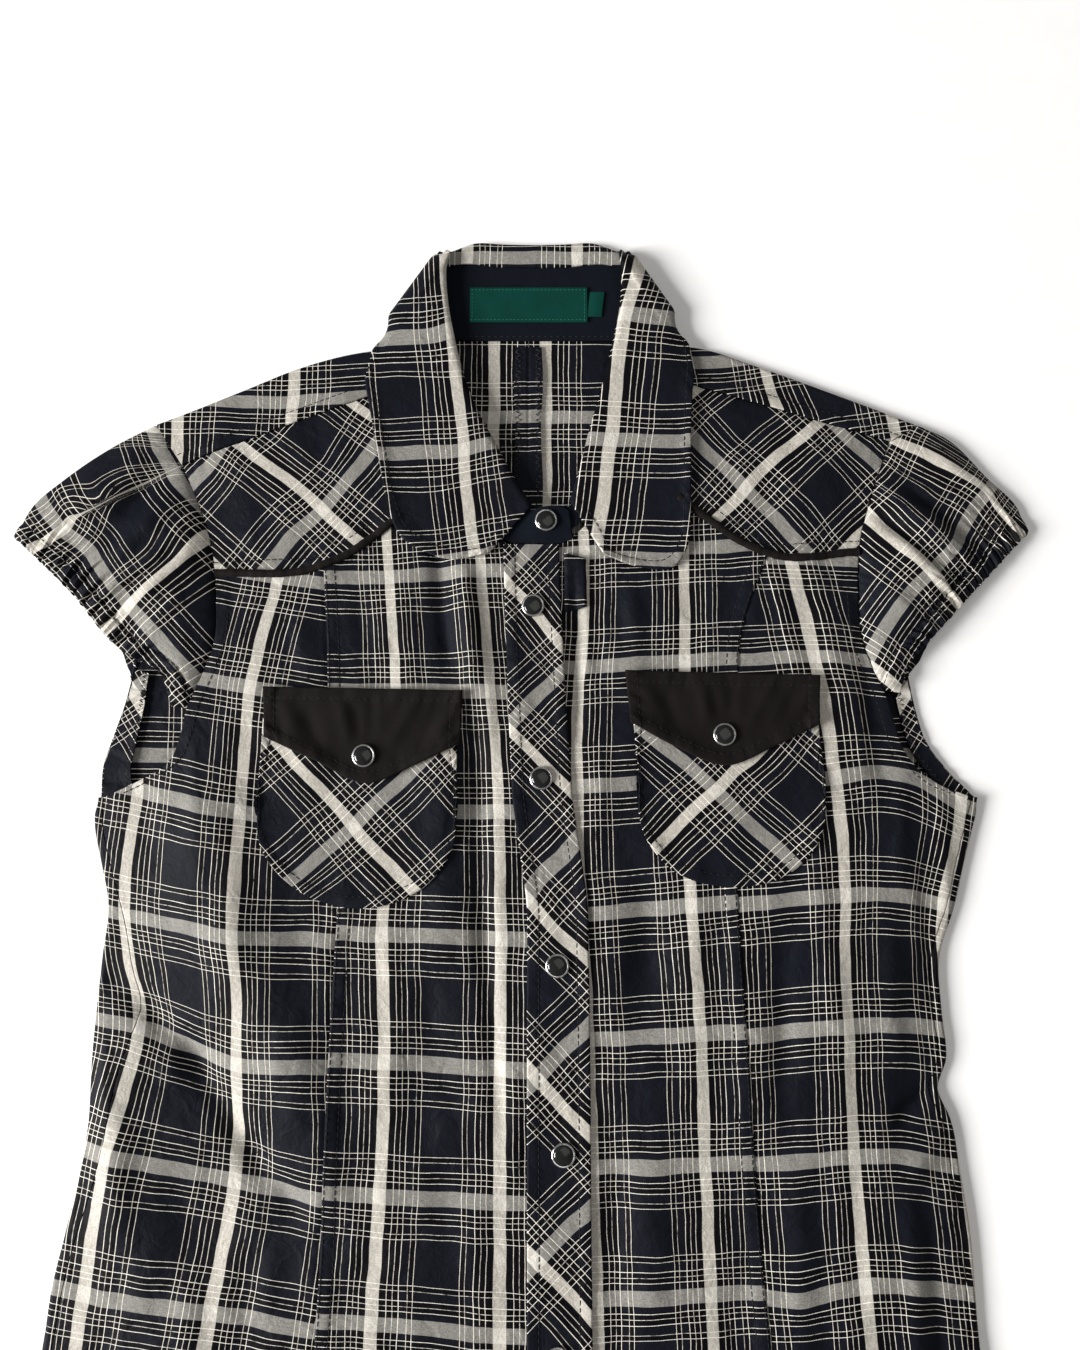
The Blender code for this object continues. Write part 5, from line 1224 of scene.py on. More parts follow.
def make_back():
    """Both halves of the back, with the strips that come over the shoulders."""
    lines = []
    shoulder_row = len(SECTION) + UPPER_ROWS
    over_shoulder = slice(shoulder_row + 1, None)
    up_side = (slice(0, len(SECTION)), slice(len(FLOOR_U) + 1, None))
    shown = (slice(shoulder_row + len(ARC_TURNS) - 1, None), slice(NECK_CORNER, len(FLOOR_U)))
    for side in (RIGHT, LEFT):
        name = "back_" + SIDE_NAME[side]
        grid, keep = back_grid(side)
        filled = np.nan_to_num(grid)
        run = edge_measures(filled, "left")[0]
        bend = BACK_BEND * OUTWARD[side] * (1 - ease(BACK_BEND_Y[1], BACK_BEND_Y[0], filled[..., 1]))
        bend = bend * (0.35 + 0.65 * ease(30, 90, np.abs(filled[..., 0])))
        uv = grain(name, np.dstack([filled[:, :1, 0] + OUTWARD[side] * run + bend, filled[..., 1]]))
        uv[over_shoulder] = grain("shoulder_" + SIDE_NAME[side], filled[over_shoulder])
        uv[up_side] = grain("side_front_" + SIDE_NAME[side], filled[up_side])
        sewn = {"top": "lap"}
        extra = np.zeros(filled.shape[:2])
        extra[shown] = relief(filled[shown], sewn, 5 + side)
        shaped = cloth(name, grid, uv, "plaid", -OUTWARD[side], keep, extra=extra)
        lines += sewn_lines(shaped[shown], sewn)
    stitch_rows("thread_shoulders", lines)


def make_back_seam():
    """The open seam inside the back, with overlock stitches along both edges of its allowance."""
    half, height = BACK_SEAM_HALF, CLOTH + SEAM + BACK_SEAM
    x, y = np.meshgrid(np.linspace(CENTRE_BACK_X - half, CENTRE_BACK_X + half, 25),
                       np.linspace(*BACK_SEAM_Y, 90))
    off = x - CENTRE_BACK_X
    waves = 0.25 * np.sin(y / 5.3) * np.abs(off) / half
    crease = -0.5 * np.exp(-((off / 0.7) ** 2))
    grid = np.dstack([x + 0.5 * np.sin(y / 9.0) * off / half, y, height + waves + crease])
    cloth("centre_back_seam", grid, grain("back_right", np.dstack([off + BACK_SEAM_GRAIN, y])), "plaid",
          thickness=0.7)
    loops = [np.array([(CENTRE_BACK_X + edge * (half - (0.2 if k % 2 else 3.4)), y_here, height + 0.25)
                       for k, y_here in enumerate(np.arange(*BACK_SEAM_Y, 1.6))]) for edge in (-1, 1)]
    stitch_rows("thread_back_seam", loops, "thread_dark", stitch=2.9, gap=0.3)


def make_fronts():
    """The side fronts, and the centre fronts that lie over their edges."""
    lines = []
    for side in (RIGHT, LEFT):
        name = "side_front_" + SIDE_NAME[side]
        flat = side_front_grid(side)
        raised = lift(flat)
        sewn, armhole = {"left": "ditch", "right": "under", "bottom": "hem"}, {"left": "turned in"}
        extra = np.zeros(flat.shape[:2])
        extra[len(SECTION) - 1:] = relief(raised[len(SECTION) - 1:], armhole, 22 + side)
        shaped = cloth(name, raised, grain(name, flat), "plaid", -OUTWARD[side], sewn=sewn,
                       seed=20 + side, extra=extra)
        lines += sewn_lines(shaped[len(SECTION) + 1:-8], armhole) + sewn_lines(shaped, sewn)
        name = "centre_front_" + SIDE_NAME[side]
        flat = centre_front_grid(side)
        sewn = {"left": "lap", "bottom": "hem"}
        shaped = cloth(name, lift(flat), grain(name, flat), "plaid", -OUTWARD[side], sewn=sewn,
                       seed=30 + side)
        lines += sewn_lines(shaped, sewn) + [inset_line(shaped, "left", EDGE_STITCH)]
    stitch_rows("thread_fronts", lines)


def make_yokes():
    """The front yokes."""
    lines = []
    for side in (RIGHT, LEFT):
        name = "front_yoke_" + SIDE_NAME[side]
        flat = yoke_grid(side)
        sewn = {"bottom": "piped", "top": "under", "left": "ditch"}
        shaped = cloth(name, lift(flat), grain(name, flat), "plaid",
                       -OUTWARD[side], sewn=sewn, seed=40 + side)
        lines += sewn_lines(shaped, sewn)
        make_piping(side)
    stitch_rows("thread_yokes", lines)


def make_piping(side):
    """The cord in a yoke's lower seam, from the armhole towards the neck."""
    corner, arm, neck = (np.array(spot, float) for spot in (FRONT_PRINCESS[side][-1], FRONT_ARMHOLE[side][-1],
                                                            FRONT_NECK[side][0]))
    start = corner + (neck - corner) * 0.62
    line = smooth([start, corner + (start - corner) * 0.16, corner + (arm - corner) * 0.12, arm])
    line = along(line, even(110))
    points = []
    for spot, across, run in zip(line, beside(np.gradient(line, axis=0)), np.linspace(0, 120, len(line))):
        spread = spot + across * np.array([[-1.0], [0.0], [1.0]]) * PIPING_WIDTH / 2
        base = float(np.mean(top_height(spread[:, 0], spread[:, 1]))) - 0.25
        swell = 1 + 0.05 * math.sin(run / 2.1) + 0.04 * math.sin(run / 0.9)
        for turn in 2 * math.pi * np.arange(PIPING_SIDES) / PIPING_SIDES:
            xy = spot + across * math.cos(turn) * PIPING_WIDTH / 2 * swell
            points.append((*xy, base + (PIPING_HEIGHT + 0.3) / 2 * swell * (1 + math.sin(turn))))
    last = (len(line) - 1) * PIPING_SIDES
    faces = ring_faces(len(line), PIPING_SIDES)
    faces += [tuple(range(PIPING_SIDES))[::-1], tuple(range(last, last + PIPING_SIDES))]
    points = np.array(points)
    name = "piping_" + SIDE_NAME[side]
    place(name + "_cord", points, faces, ["twill_cloth"], [name], "black_twill", uv=points[:, :2] / REPEAT)


def make_placket():
    """The placket, and the end of the under front's band beside it."""
    across = spaced(30.0, FINE_STEP)
    low, high = (SECTION[:, column] for column in PLACKET_COLUMNS)
    rows = list(body_rows(low, high, across))
    (left_x, top_y), (right_x, _) = PLACKET_TOP
    for part in spaced(top_y - UNDERARM_Y, ROW_STEP, PLAIN_INSETS)[1:]:
        bow = (1 - part) ** PLACKET_BOW
        left, right = left_x + (low[-1] - left_x) * bow, right_x + (high[-1] - right_x) * bow
        xs = left + (right - left) * across
        rows.append(np.column_stack([xs, np.full(len(xs), UNDERARM_Y + (top_y - UNDERARM_Y) * part)]))
    flat = np.array(rows)
    sewn = {"left": "turned", "right": "turned", "bottom": "hem"}
    shaped = cloth("placket", lift(flat, LAYER), grain("placket", flat), "plaid",
                   sewn=sewn, seed=50, thickness=CLOTH)
    stitch_rows("thread_placket", sewn_lines(shaped, sewn))
    u, v = (spaced(length, step, PLAIN_INSETS, PLAIN_INSETS) for length, step in ((11.0, 1.0), (30.0, 1.2)))
    outer, inner = (along(edge, v) for edge in UNDERLAP_END)
    end = patch(along([outer[0], inner[0]], u), along([outer[-1], inner[-1]], u), outer, inner, u, v)
    cloth("underlap_end", lift(end, LAYER), grain("underlap_end", end), "plaid",
          sewn={"left": "ditch", "right": "turned", "bottom": "ditch"}, seed=51, thickness=CLOTH)


COLLAR_SMOOTHINGS = 36
COLLAR_LOOSE = 0.9        # the collar's outer edge stands off the cloth by this


def make_collar():
    """The collar, with its strip inside the neck."""
    coarse = collar_grid()
    fine = refine(coarse, FINE_STEP, column_ends=(PLAIN_INSETS, EDGE_INSETS))
    knots = mean_run(coarse)
    places = spaced(knots[-1], FINE_STEP) * knots[-1]
    turn = np.interp(places, knots, [row["turn"] for row in ring_rows()])
    inside, from_edge = edge_measures(fine, "left")[0], edge_measures(fine, "right")[0]
    from_side = np.min(np.abs(places[:, None] - places[np.abs(turn) < 1.5][None]), axis=1)
    near_edge = (1 - ease(10, 26, from_side))[:, None] * (1 - ease(6, 18, from_edge))
    near_roll = (1 - ease(0, 6, from_side))[:, None] * (1 - ease(3, 8, np.abs(inside - STRIP - ROLL)))
    weight = np.maximum(near_edge, 0.6 * near_roll)[..., None]
    for _ in range(COLLAR_SMOOTHINGS):
        even_out = (fine[:-2] + 2 * fine[1:-1] + fine[2:]) / 4
        fine[1:-1] += (even_out - fine[1:-1]) * weight[1:-1]
    half = len(fine) // 2
    leaves = np.concatenate([grain("collar_right", fine[:half]), grain("collar_left", fine[half:])])
    in_strip = (turn < math.radians(60))[:, None] & (inside < STRIP + 1.0)
    in_strip = in_strip | (turn < math.radians(-80))[:, None]
    uv = np.where(in_strip[..., None], grain("collar_strip", fine), leaves)
    sewn = {"right": "turned", "bottom": "turned", "top": "turned"}
    faces_up = turn > math.radians(80)
    loose = COLLAR_LOOSE * (1 - ease(0.0, LOOSE_WIDTH, edge_measures(fine, "right")[0])) * faces_up[:, None]
    extra = relief(fine, sewn, 60) * np.clip((inside - STRIP) / 8.0, 0, 1) + loose
    shaped = cloth("collar", fine, uv, "plaid", -1.0, extra=extra, thickness=1.0)
    line, right_half = inset_line(shaped, "right", COLLAR_STITCH), np.arange(len(turn)) < half
    lines = [line[faces_up & right_half], line[faces_up & ~right_half]]
    for edge in ("bottom", "top"):
        end = inset_line(shaped, edge, COLLAR_STITCH)
        lines.append(end[(inside[0] > STRIP + 12) & (inside[0] < inside[0][-1] - 6)])
    stitch_rows("thread_collar", lines)


def make_stand():
    """The collar's stand, with its seam on the back."""
    fine = refine(stand_grid(), FINE_STEP, column_ends=(PLAIN_INSETS, EDGE_INSETS[:8]))
    shaped = cloth("collar_stand", fine, fine[..., :2] / REPEAT, "navy_cotton",
                   -1.0, sewn={"bottom": "ditch", "top": "ditch"}, seed=70, thickness=CLOTH)
    line = inset_line(shaped, "right", 2.0) + np.array([0.0, 0.0, CLOTH + 0.1])
    at_back = (line[:, 1] > BACK_NECK[RIGHT][-1][1]) & (line[:, 2] < RING_FOLD)
    stitch_rows("thread_stand", [line[at_back]])


def sleeve_gathers(v, u, waves, seed):
    """Height of the gathers at the hem: uneven soft ridges that die out towards the armhole."""
    draw = np.random.default_rng(seed)
    numbers = np.arange(waves + 1)
    knots = numbers / waves
    phase = np.interp(v, knots, numbers + np.concatenate([[0], draw.uniform(-0.3, 0.3, waves - 1), [0]]))
    size = np.interp(v, knots, draw.uniform(0.5, 1.3, waves + 1))
    start = np.interp(v, knots, draw.uniform(0.35, 0.75, waves + 1))
    ridge = np.cos(2 * math.pi * phase) * size
    grow = np.clip((u[None] - start[:, None]) / (BAND_START - start[:, None]), 0, 1) ** 1.3
    return ridge[:, None] * grow * np.sin(math.pi * v)[:, None] ** 0.4


def make_sleeves():
    """The sleeves: over the top, round the outer fold and under."""
    lines = []
    for side in (RIGHT, LEFT):
        panels = (back_grid(side)[0], side_front_grid(side), yoke_grid(side))
        over, around, under = armhole_edges(side, panels)
        fold_line, out = sleeve_fold(side)
        top, fold_line = sleeve_top(side, over, fold_line)
        fold_rows = []
        for turn, seam_point in zip(SLEEVE_TURNS, along(around, even(len(SLEEVE_TURNS) + 1))[1:-1]):
            line = fold_line + out * FOLD * math.cos(turn)
            row = np.column_stack([line, np.full(len(line), FOLD + FOLD * math.sin(turn))])
            row[0] = seam_point
            fold_rows.append(row)
        grid = np.concatenate([top, np.array(fold_rows), sleeve_under(side, under, fold_line)])
        name = "sleeve_" + SIDE_NAME[side]
        shaped = cloth(name, grid, grain(name, grid), "plaid", OUTWARD[side],
                       sewn={"left": "under", "right": "elastic"}, seed=80 + side)
        lines.append(inset_line(shaped[:len(top)], "right", BAND_WIDTH))
    stitch_rows("thread_sleeves", lines)


LOOSE_EDGE = {1: 0.15, 2: 1.1}      # a bag's and a flap's lower edge stand off the cloth by this
LOOSE_WIDTH = 13.0
SETTLED = {1: 0.5, 2: 0.6}          # and they lie this much lower than their layers add up to
# Soft folds of a flap, from its snap's middle: from x, y to x, y, half width, height
FLAP_FOLDS = [
    (-7, 6, -13, 30, 2.8, 1.0), (3, 8, 4, 30, 2.4, -0.8), (12, 4, 24, 26, 3.2, 0.9), (-22, 4, -30, 24, 3.0, -0.8),
    (-32, 10, -42, 30, 3.4, 0.8), (26, 2, 34, 20, 2.6, -0.6), (-2, 10, -6, 26, 2.2, -0.6),
    (36, 8, 44, 28, 3.0, 0.8),
]


def make_pockets():
    """The pockets' bags, and the flaps over them."""
    lines = []
    for side in (RIGHT, LEFT):
        for layers, prefix, part, size, below in ((1, "pocket_", "bag", (98.0, 95.0), "side_front_"),
                                                  (2, "pocket_flap_", "flap", (97.0, 36.0), "pocket_")):
            name = prefix + SIDE_NAME[side]
            u, v = (spaced(length, FINE_STEP) for length in size)
            lower, upper = along(smooth(POCKETS[side][part]), u), along(POCKETS[side][part + "_top"], u)
            left, right = along([lower[0], upper[0]], v), along([lower[-1], upper[-1]], v)
            flat = patch(lower, upper, left, right, u, v)
            from_edge = edge_measures(lift(flat), "bottom")[0]
            loose = LOOSE_EDGE[layers] * (1 - ease(0.0, LOOSE_WIDTH, from_edge))
            sewn = {"left": "turned", "right": "turned", "bottom": "turned"}
            if part == "bag":
                slot, uv = "plaid", grain(name, flat)
            else:
                slot, uv = "black_twill", flat / REPEAT
                sewn["top"] = "turned"
                _, snap_x, snap_y, _ = SNAPS[FLAP_SNAPS[side]]
                loose = loose + drape(FLAP_FOLDS, flat[..., 0] - snap_x, flat[..., 1] - snap_y)
            shaped = cloth(name, lift(flat, layers * LAYER - SETTLED[layers]), uv, slot,
                           sewn=sewn, seed=90 + 2 * side + layers,
                           thickness=CLOTH, extra=loose)
            lines += sewn_lines(shaped, sewn)
    stitch_rows("thread_pockets", lines)


# Snaps: outer radius, and radius and height of each ring of points of the metal and then of the cap
SNAP_SIDES, SNAP_RADIUS = 48, 5.65
RING_PROFILE = [(4.9, 0.0), (5.45, 0.15), (5.65, 0.55), (5.65, 1.05), (5.4, 1.45), (5.05, 1.6), (4.75, 1.5),
                (4.6, 1.15)]
CAP_PROFILE = [(4.6, 1.15), (4.3, 1.45), (3.8, 1.75), (3.0, 2.0), (2.0, 2.2), (1.0, 2.3), (0.35, 2.33)]


def make_snaps():
    """The snaps: a metal ring with a dark cap in it."""
    profile = RING_PROFILE + CAP_PROFILE[1:]
    around = 2 * math.pi * np.arange(SNAP_SIDES) / SNAP_SIDES
    points = np.array([(0.0, 0.0, 0.0)]
                      + [(radius * math.cos(turn), radius * math.sin(turn), height)
                         for radius, height in profile for turn in around]
                      + [(0.0, 0.0, profile[-1][1] + 0.02)])
    last = len(points) - 1
    faces = ring_faces(len(profile), SNAP_SIDES, 1)
    looks = [int(ring >= len(RING_PROFILE) - 1) for ring in range(len(profile) - 1) for _ in around]
    for k in range(SNAP_SIDES):
        n = (k + 1) % SNAP_SIDES
        faces += [(0, 1 + n, 1 + k), (last - SNAP_SIDES + k, last - SNAP_SIDES + n, last)]
        looks += [0, 1]
    turns = 2 * math.pi * even(16)[1:]
    for name, x, y, seat in SNAPS:
        highest = float(np.max(top_height(np.append(x + SNAP_RADIUS * np.cos(turns), x),
                                          np.append(y + SNAP_RADIUS * np.sin(turns), y))))
        base = {"stand": RING_FOLD + STAND_FACE + STAND_ENDS[RIGHT][0][4], "placket": highest + LAYER,
                "flap": highest + 2 * LAYER - SETTLED[2]}[seat] + 0.1
        place(name + "_metal", points + np.array([x, y, base]), faces, ["snap_ring", "cap_gloss"], [name],
              "snap_cap", face_material=looks, sharp=40)


def make_labels():
    """The bare label on the stand, and the tab beside it."""
    x0, y0, x1, y1 = LABEL_CORNERS
    height = RING_FOLD - STAND_FACE + CLOTH + SEAM + LABEL
    x, y = np.meshgrid(np.linspace(x0, x1, 90), np.linspace(y0, y1, 40))
    grid = np.dstack([x, y, height + 0.25 * np.sin((x - x0) / 9.0) * np.sin((y - y0) / 6.0)])
    shaped = cloth("neck_label", grid, grid[..., :2] / REPEAT, "green_label",
                   thickness=0.6)
    lines = [inset_line(shaped, edge, EDGE_STITCH) for edge in ("left", "right", "bottom", "top")]
    stitch_rows("thread_label", lines, "thread_green", "green_label", radius=0.17, stitch=1.5, gap=0.5)
    x, y = np.meshgrid(np.linspace(0, 1, 24), np.linspace(0, 1, 30))
    x0, y0, x1, y1 = TAB_CORNERS
    grid = np.dstack([x0 + (x1 - x0) * x - 1.6 * (1 - y), y0 + (y1 - y0) * y,
                      height - 0.2 + 0.3 * np.sin(x * 3.1)])
    cloth("size_tab", grid, grid[..., :2] / REPEAT, "green_label", thickness=0.5,
          stands_for_node=False)


# ---------------------------------------------------------------- looks

# Yarns of the plaid across one half repeat, from the middle of a wide stripe outwards: distance in
# millimetres of a line's middle, its half width, and how much of it shows
WARP_EVEN = [(0.0, 3.0, 0.46), (6.4, 0.08, 0.82), (11.8, 0.105, 0.88), (18.2, 0.08, 0.80)]
WARP_SLUB = [(9.1, 0.07, 0.86), (15.8, 0.07, 0.72)]
WEFT_EVEN = [(0.0, 3.4, 0.295), (6.6, 0.08, 1.1), (11.6, 0.10, 1.1), (18.4, 0.08, 1.05)]
WEFT_SLUB = [(9.0, 0.068, 0.95), (16.0, 0.068, 1.05)]
# Blue ground: from and to, in millimetres from the middle of a wide stripe; the rest is black
WARP_BLUE = [(12.4, 15.2), (18.8, 28.7)]
WEFT_BLUE = [(3.4, 5.6), (12.4, 15.4), (19.0, 29.0)]
LINE_SOFTNESS = 0.08
BUMP_SIZE, BUMP_STRENGTH = 0.00016, 0.8
TWILL_RIBS = 62.0         # per repeat of the grain


def new_tree(name, inputs, outputs):
    """A shader node group with these named sockets."""
    tree = bpy.data.node_groups.new(name, "ShaderNodeTree")
    for socket, kind, value in inputs:
        made = tree.interface.new_socket(name=socket, in_out="INPUT", socket_type=kind)
        if value is not None:
            made.default_value = value
    for socket, kind in outputs:
        tree.interface.new_socket(name=socket, in_out="OUTPUT", socket_type=kind)
    return tree, tree.nodes.new("NodeGroupInput"), tree.nodes.new("NodeGroupOutput")


def node(tree, kind, inputs=(), **settings):
    """Adds a node, sets it up, and joins or fills its inputs."""
    made = tree.nodes.new(kind)
    for key, value in settings.items():
        setattr(made, key, value)
    for key, value in dict(inputs).items():
        if isinstance(value, bpy.types.NodeSocket):
            tree.links.new(value, made.inputs[key])
        else:
            made.inputs[key].default_value = value
    return made


def maths(tree, operation, a, b=0.0, c=0.0, clamp=False):
    """A number worked out from others."""
    made = node(tree, "ShaderNodeMath", {0: a, 1: b, 2: c}, operation=operation, use_clamp=clamp)
    return made.outputs[0]


def vector_maths(tree, operation, a, b):
    """A colour worked out from others."""
    return node(tree, "ShaderNodeVectorMath", {0: a, 1: b}, operation=operation).outputs[0]


def noise(tree, vector, scale, detail, **more):
    """A noise texture."""
    return node(tree, "ShaderNodeTexNoise", {"Vector": vector, "Scale": scale, "Detail": detail, **more})


def tinted(tree, colour, amount):
    """A colour or a place, times a number."""
    return node(tree, "ShaderNodeVectorMath", {0: colour, "Scale": amount}, operation="SCALE").outputs[0]


def ramp(tree, factor, stops):
    """A colour ramp with grey stops: place and value."""
    made = node(tree, "ShaderNodeValToRGB", {0: factor})
    points = made.color_ramp.elements
    while len(points) > 1:
        points.remove(points[-1])
    points[0].position, points[0].color = stops[0][0], (stops[0][1],) * 3 + (1.0,)
    for place_at, value in stops[1:]:
        point = points.new(place_at)
        point.color = (value,) * 3 + (1.0,)
    return made.outputs["Color"]


def yarn_stops(lines, half_repeat):
    """Stops of a ramp that shows a group of lines."""
    stops = []
    for middle, half, value in lines:
        low, high = middle - half, middle + half
        if low > 0:
            stops += [((low - LINE_SOFTNESS) / half_repeat, 0.0), (low / half_repeat, value)]
        else:
            stops += [(0.0, value)]
        stops += [(high / half_repeat, value), ((high + LINE_SOFTNESS) / half_repeat, 0.0)]
    return stops


def blue_stops(bands, half_repeat):
    """Stops of a ramp that shows the blue of the ground."""
    stops = [(0.0, 0.0)]
    for low, high in bands:
        stops += [((low - 0.4) / half_repeat, 0.0), (low / half_repeat, 1.0)]
        if high < half_repeat - 0.5:
            stops += [(high / half_repeat, 1.0), ((high + 0.4) / half_repeat, 0.0)]
    return stops


def make_weave_group():
    """Fine threads over and under each other, as a height and a mask, from a grain in repeats."""
    tree, start, end = new_tree(
        "Weave", [("Grain", "NodeSocketVector", None), ("Threads", "NodeSocketFloat", 90.0)],
        [("Height", "NodeSocketFloat"), ("Fleck", "NodeSocketFloat")])
    scaled = tinted(tree, start.outputs["Grain"], start.outputs["Threads"])
    parts = node(tree, "ShaderNodeSeparateXYZ", {0: scaled})
    across = maths(tree, "SINE", maths(tree, "MULTIPLY", parts.outputs[0], 2 * math.pi))
    up = maths(tree, "SINE", maths(tree, "MULTIPLY", parts.outputs[1], 2 * math.pi))
    crossing = maths(tree, "MULTIPLY", across, up)
    fleck = noise(tree, scaled, 0.35, 3.0, Roughness=0.65).outputs["Fac"]
    height = maths(tree, "ADD", maths(tree, "MULTIPLY", crossing, 0.22), fleck)
    tree.links.new(height, end.inputs["Height"])
    tree.links.new(fleck, end.inputs["Fleck"])
    return tree


def make_plaid_group():
    """The woven plaid, from a grain that counts its repeats."""
    tree, start, end = new_tree(
        "Plaid",
        [("Grain", "NodeSocketVector", None), ("Warp Cream", "NodeSocketColor", (0.8, 0.75, 0.6, 1)),
         ("Weft Grey", "NodeSocketColor", (0.43, 0.39, 0.3, 1)),
         ("Blue", "NodeSocketColor", (0.016, 0.02, 0.03, 1)),
         ("Black", "NodeSocketColor", (0.006, 0.006, 0.007, 1))],
        [("Color", "NodeSocketColor"), ("Yarn", "NodeSocketFloat")])
    repeats = start.outputs["Grain"]
    parts = node(tree, "ShaderNodeSeparateXYZ", {0: repeats})
    warp_place, weft_place = parts.outputs[0], parts.outputs[1]
    wander = noise(tree, repeats, 2.6, 1.5)
    shift = node(tree, "ShaderNodeSeparateXYZ", {0: wander.outputs["Color"]})
    heather = noise(tree, repeats, 95.0, 2.0, Roughness=0.7).outputs["Fac"]
    layers = []
    for place_at, cross_place, drift, even_yarn, slub_yarn, blues, size, fleck in (
            (warp_place, weft_place, shift.outputs[0], WARP_EVEN, WARP_SLUB, WARP_BLUE, REPEAT[0], 1.1),
            (weft_place, warp_place, shift.outputs[1], WEFT_EVEN, WEFT_SLUB, WEFT_BLUE, REPEAT[1], 1.5)):
        moved = maths(tree, "MULTIPLY_ADD", maths(tree, "SUBTRACT", drift, 0.5), 2.2 / size, place_at)
        near = maths(tree, "MULTIPLY", maths(tree, "PINGPONG", moved, 0.5), 2.0)
        half = size / 2
        blue = ramp(tree, near, blue_stops(blues, half))
        streak = node(tree, "ShaderNodeCombineXYZ", {0: maths(tree, "MULTIPLY", place_at, 60.0),
                                                     1: maths(tree, "MULTIPLY", cross_place, 22.0)})
        thick = noise(tree, streak.outputs[0], 1.0, 3.0).outputs["Fac"]
        mild = maths(tree, "MULTIPLY_ADD", thick, 0.8, 0.6)
        dashes = maths(tree, "MULTIPLY_ADD", thick, 3.6, -0.95, clamp=True)
        even_part = maths(tree, "MULTIPLY", ramp(tree, near, yarn_stops(even_yarn, half)), mild)
        slub_part = maths(tree, "MULTIPLY", ramp(tree, near, yarn_stops(slub_yarn, half)), dashes)
        mottle = maths(tree, "MULTIPLY_ADD", heather, fleck, 1 - fleck / 2)
        layers.append((maths(tree, "MULTIPLY", maths(tree, "ADD", even_part, slub_part), mottle), blue))
    (warp, warp_blue), (weft, weft_blue) = layers
    cloud = noise(tree, repeats, 2.2, 3.0).outputs["Fac"]
    blue_amount = maths(tree, "MULTIPLY", maths(tree, "ADD", warp_blue, weft_blue), 0.5)
    blue_amount = maths(tree, "POWER", blue_amount, 1.8)
    ground = node(tree, "ShaderNodeMix", {0: blue_amount, 6: start.outputs["Black"],
                                          7: start.outputs["Blue"]}, data_type="RGBA").outputs[2]
    faded = maths(tree, "MULTIPLY", maths(tree, "MULTIPLY_ADD", cloud, 0.7, 0.65),
                  maths(tree, "MULTIPLY_ADD", heather, 0.7, 0.65))
    cream = tinted(tree, start.outputs["Warp Cream"], warp)
    grey = tinted(tree, start.outputs["Weft Grey"], weft)
    both = vector_maths(tree, "MULTIPLY", cream, grey)
    total = vector_maths(tree, "ADD", tinted(tree, ground, faded), vector_maths(tree, "ADD", cream, grey))
    total = vector_maths(tree, "SUBTRACT", total, both)
    total = vector_maths(tree, "MINIMUM", total, (0.86, 0.84, 0.78))
    tree.links.new(total, end.inputs["Color"])
    tree.links.new(maths(tree, "ADD", warp, weft), end.inputs["Yarn"])
    return tree


def principled(name, roughness, specular=0.3, sheen=0.0, metallic=0.0):
    """The node tree and the shader of a new material."""
    made = bpy.data.materials.new(name)
    made.use_nodes = True
    shader = made.node_tree.nodes["Principled BSDF"]
    for socket, value in (("Roughness", roughness), ("Specular IOR Level", specular), ("Sheen Weight", sheen),
                          ("Sheen Roughness", 0.5), ("Metallic", metallic)):
        shader.inputs[socket].default_value = value
    return made.node_tree, shader


def grain_map(tree):
    """The grain of the piece that wears the material."""
    return node(tree, "ShaderNodeUVMap", uv_map="grain").outputs[0]


def paint(tree, shader, colour):
    tree.links.new(colour, shader.inputs["Base Color"])


def mottle(tree, scale, detail, **more):
    """Noise through the whole piece."""
    place_in = node(tree, "ShaderNodeTexCoord").outputs["Object"]
    return noise(tree, place_in, scale, detail, **more).outputs["Fac"]


def bump(tree, shader, height):
    """Gives a cloth's shader the relief of its weave."""
    made = node(tree, "ShaderNodeBump", {"Height": height, "Distance": BUMP_SIZE, "Strength": BUMP_STRENGTH})
    tree.links.new(made.outputs[0], shader.inputs["Normal"])


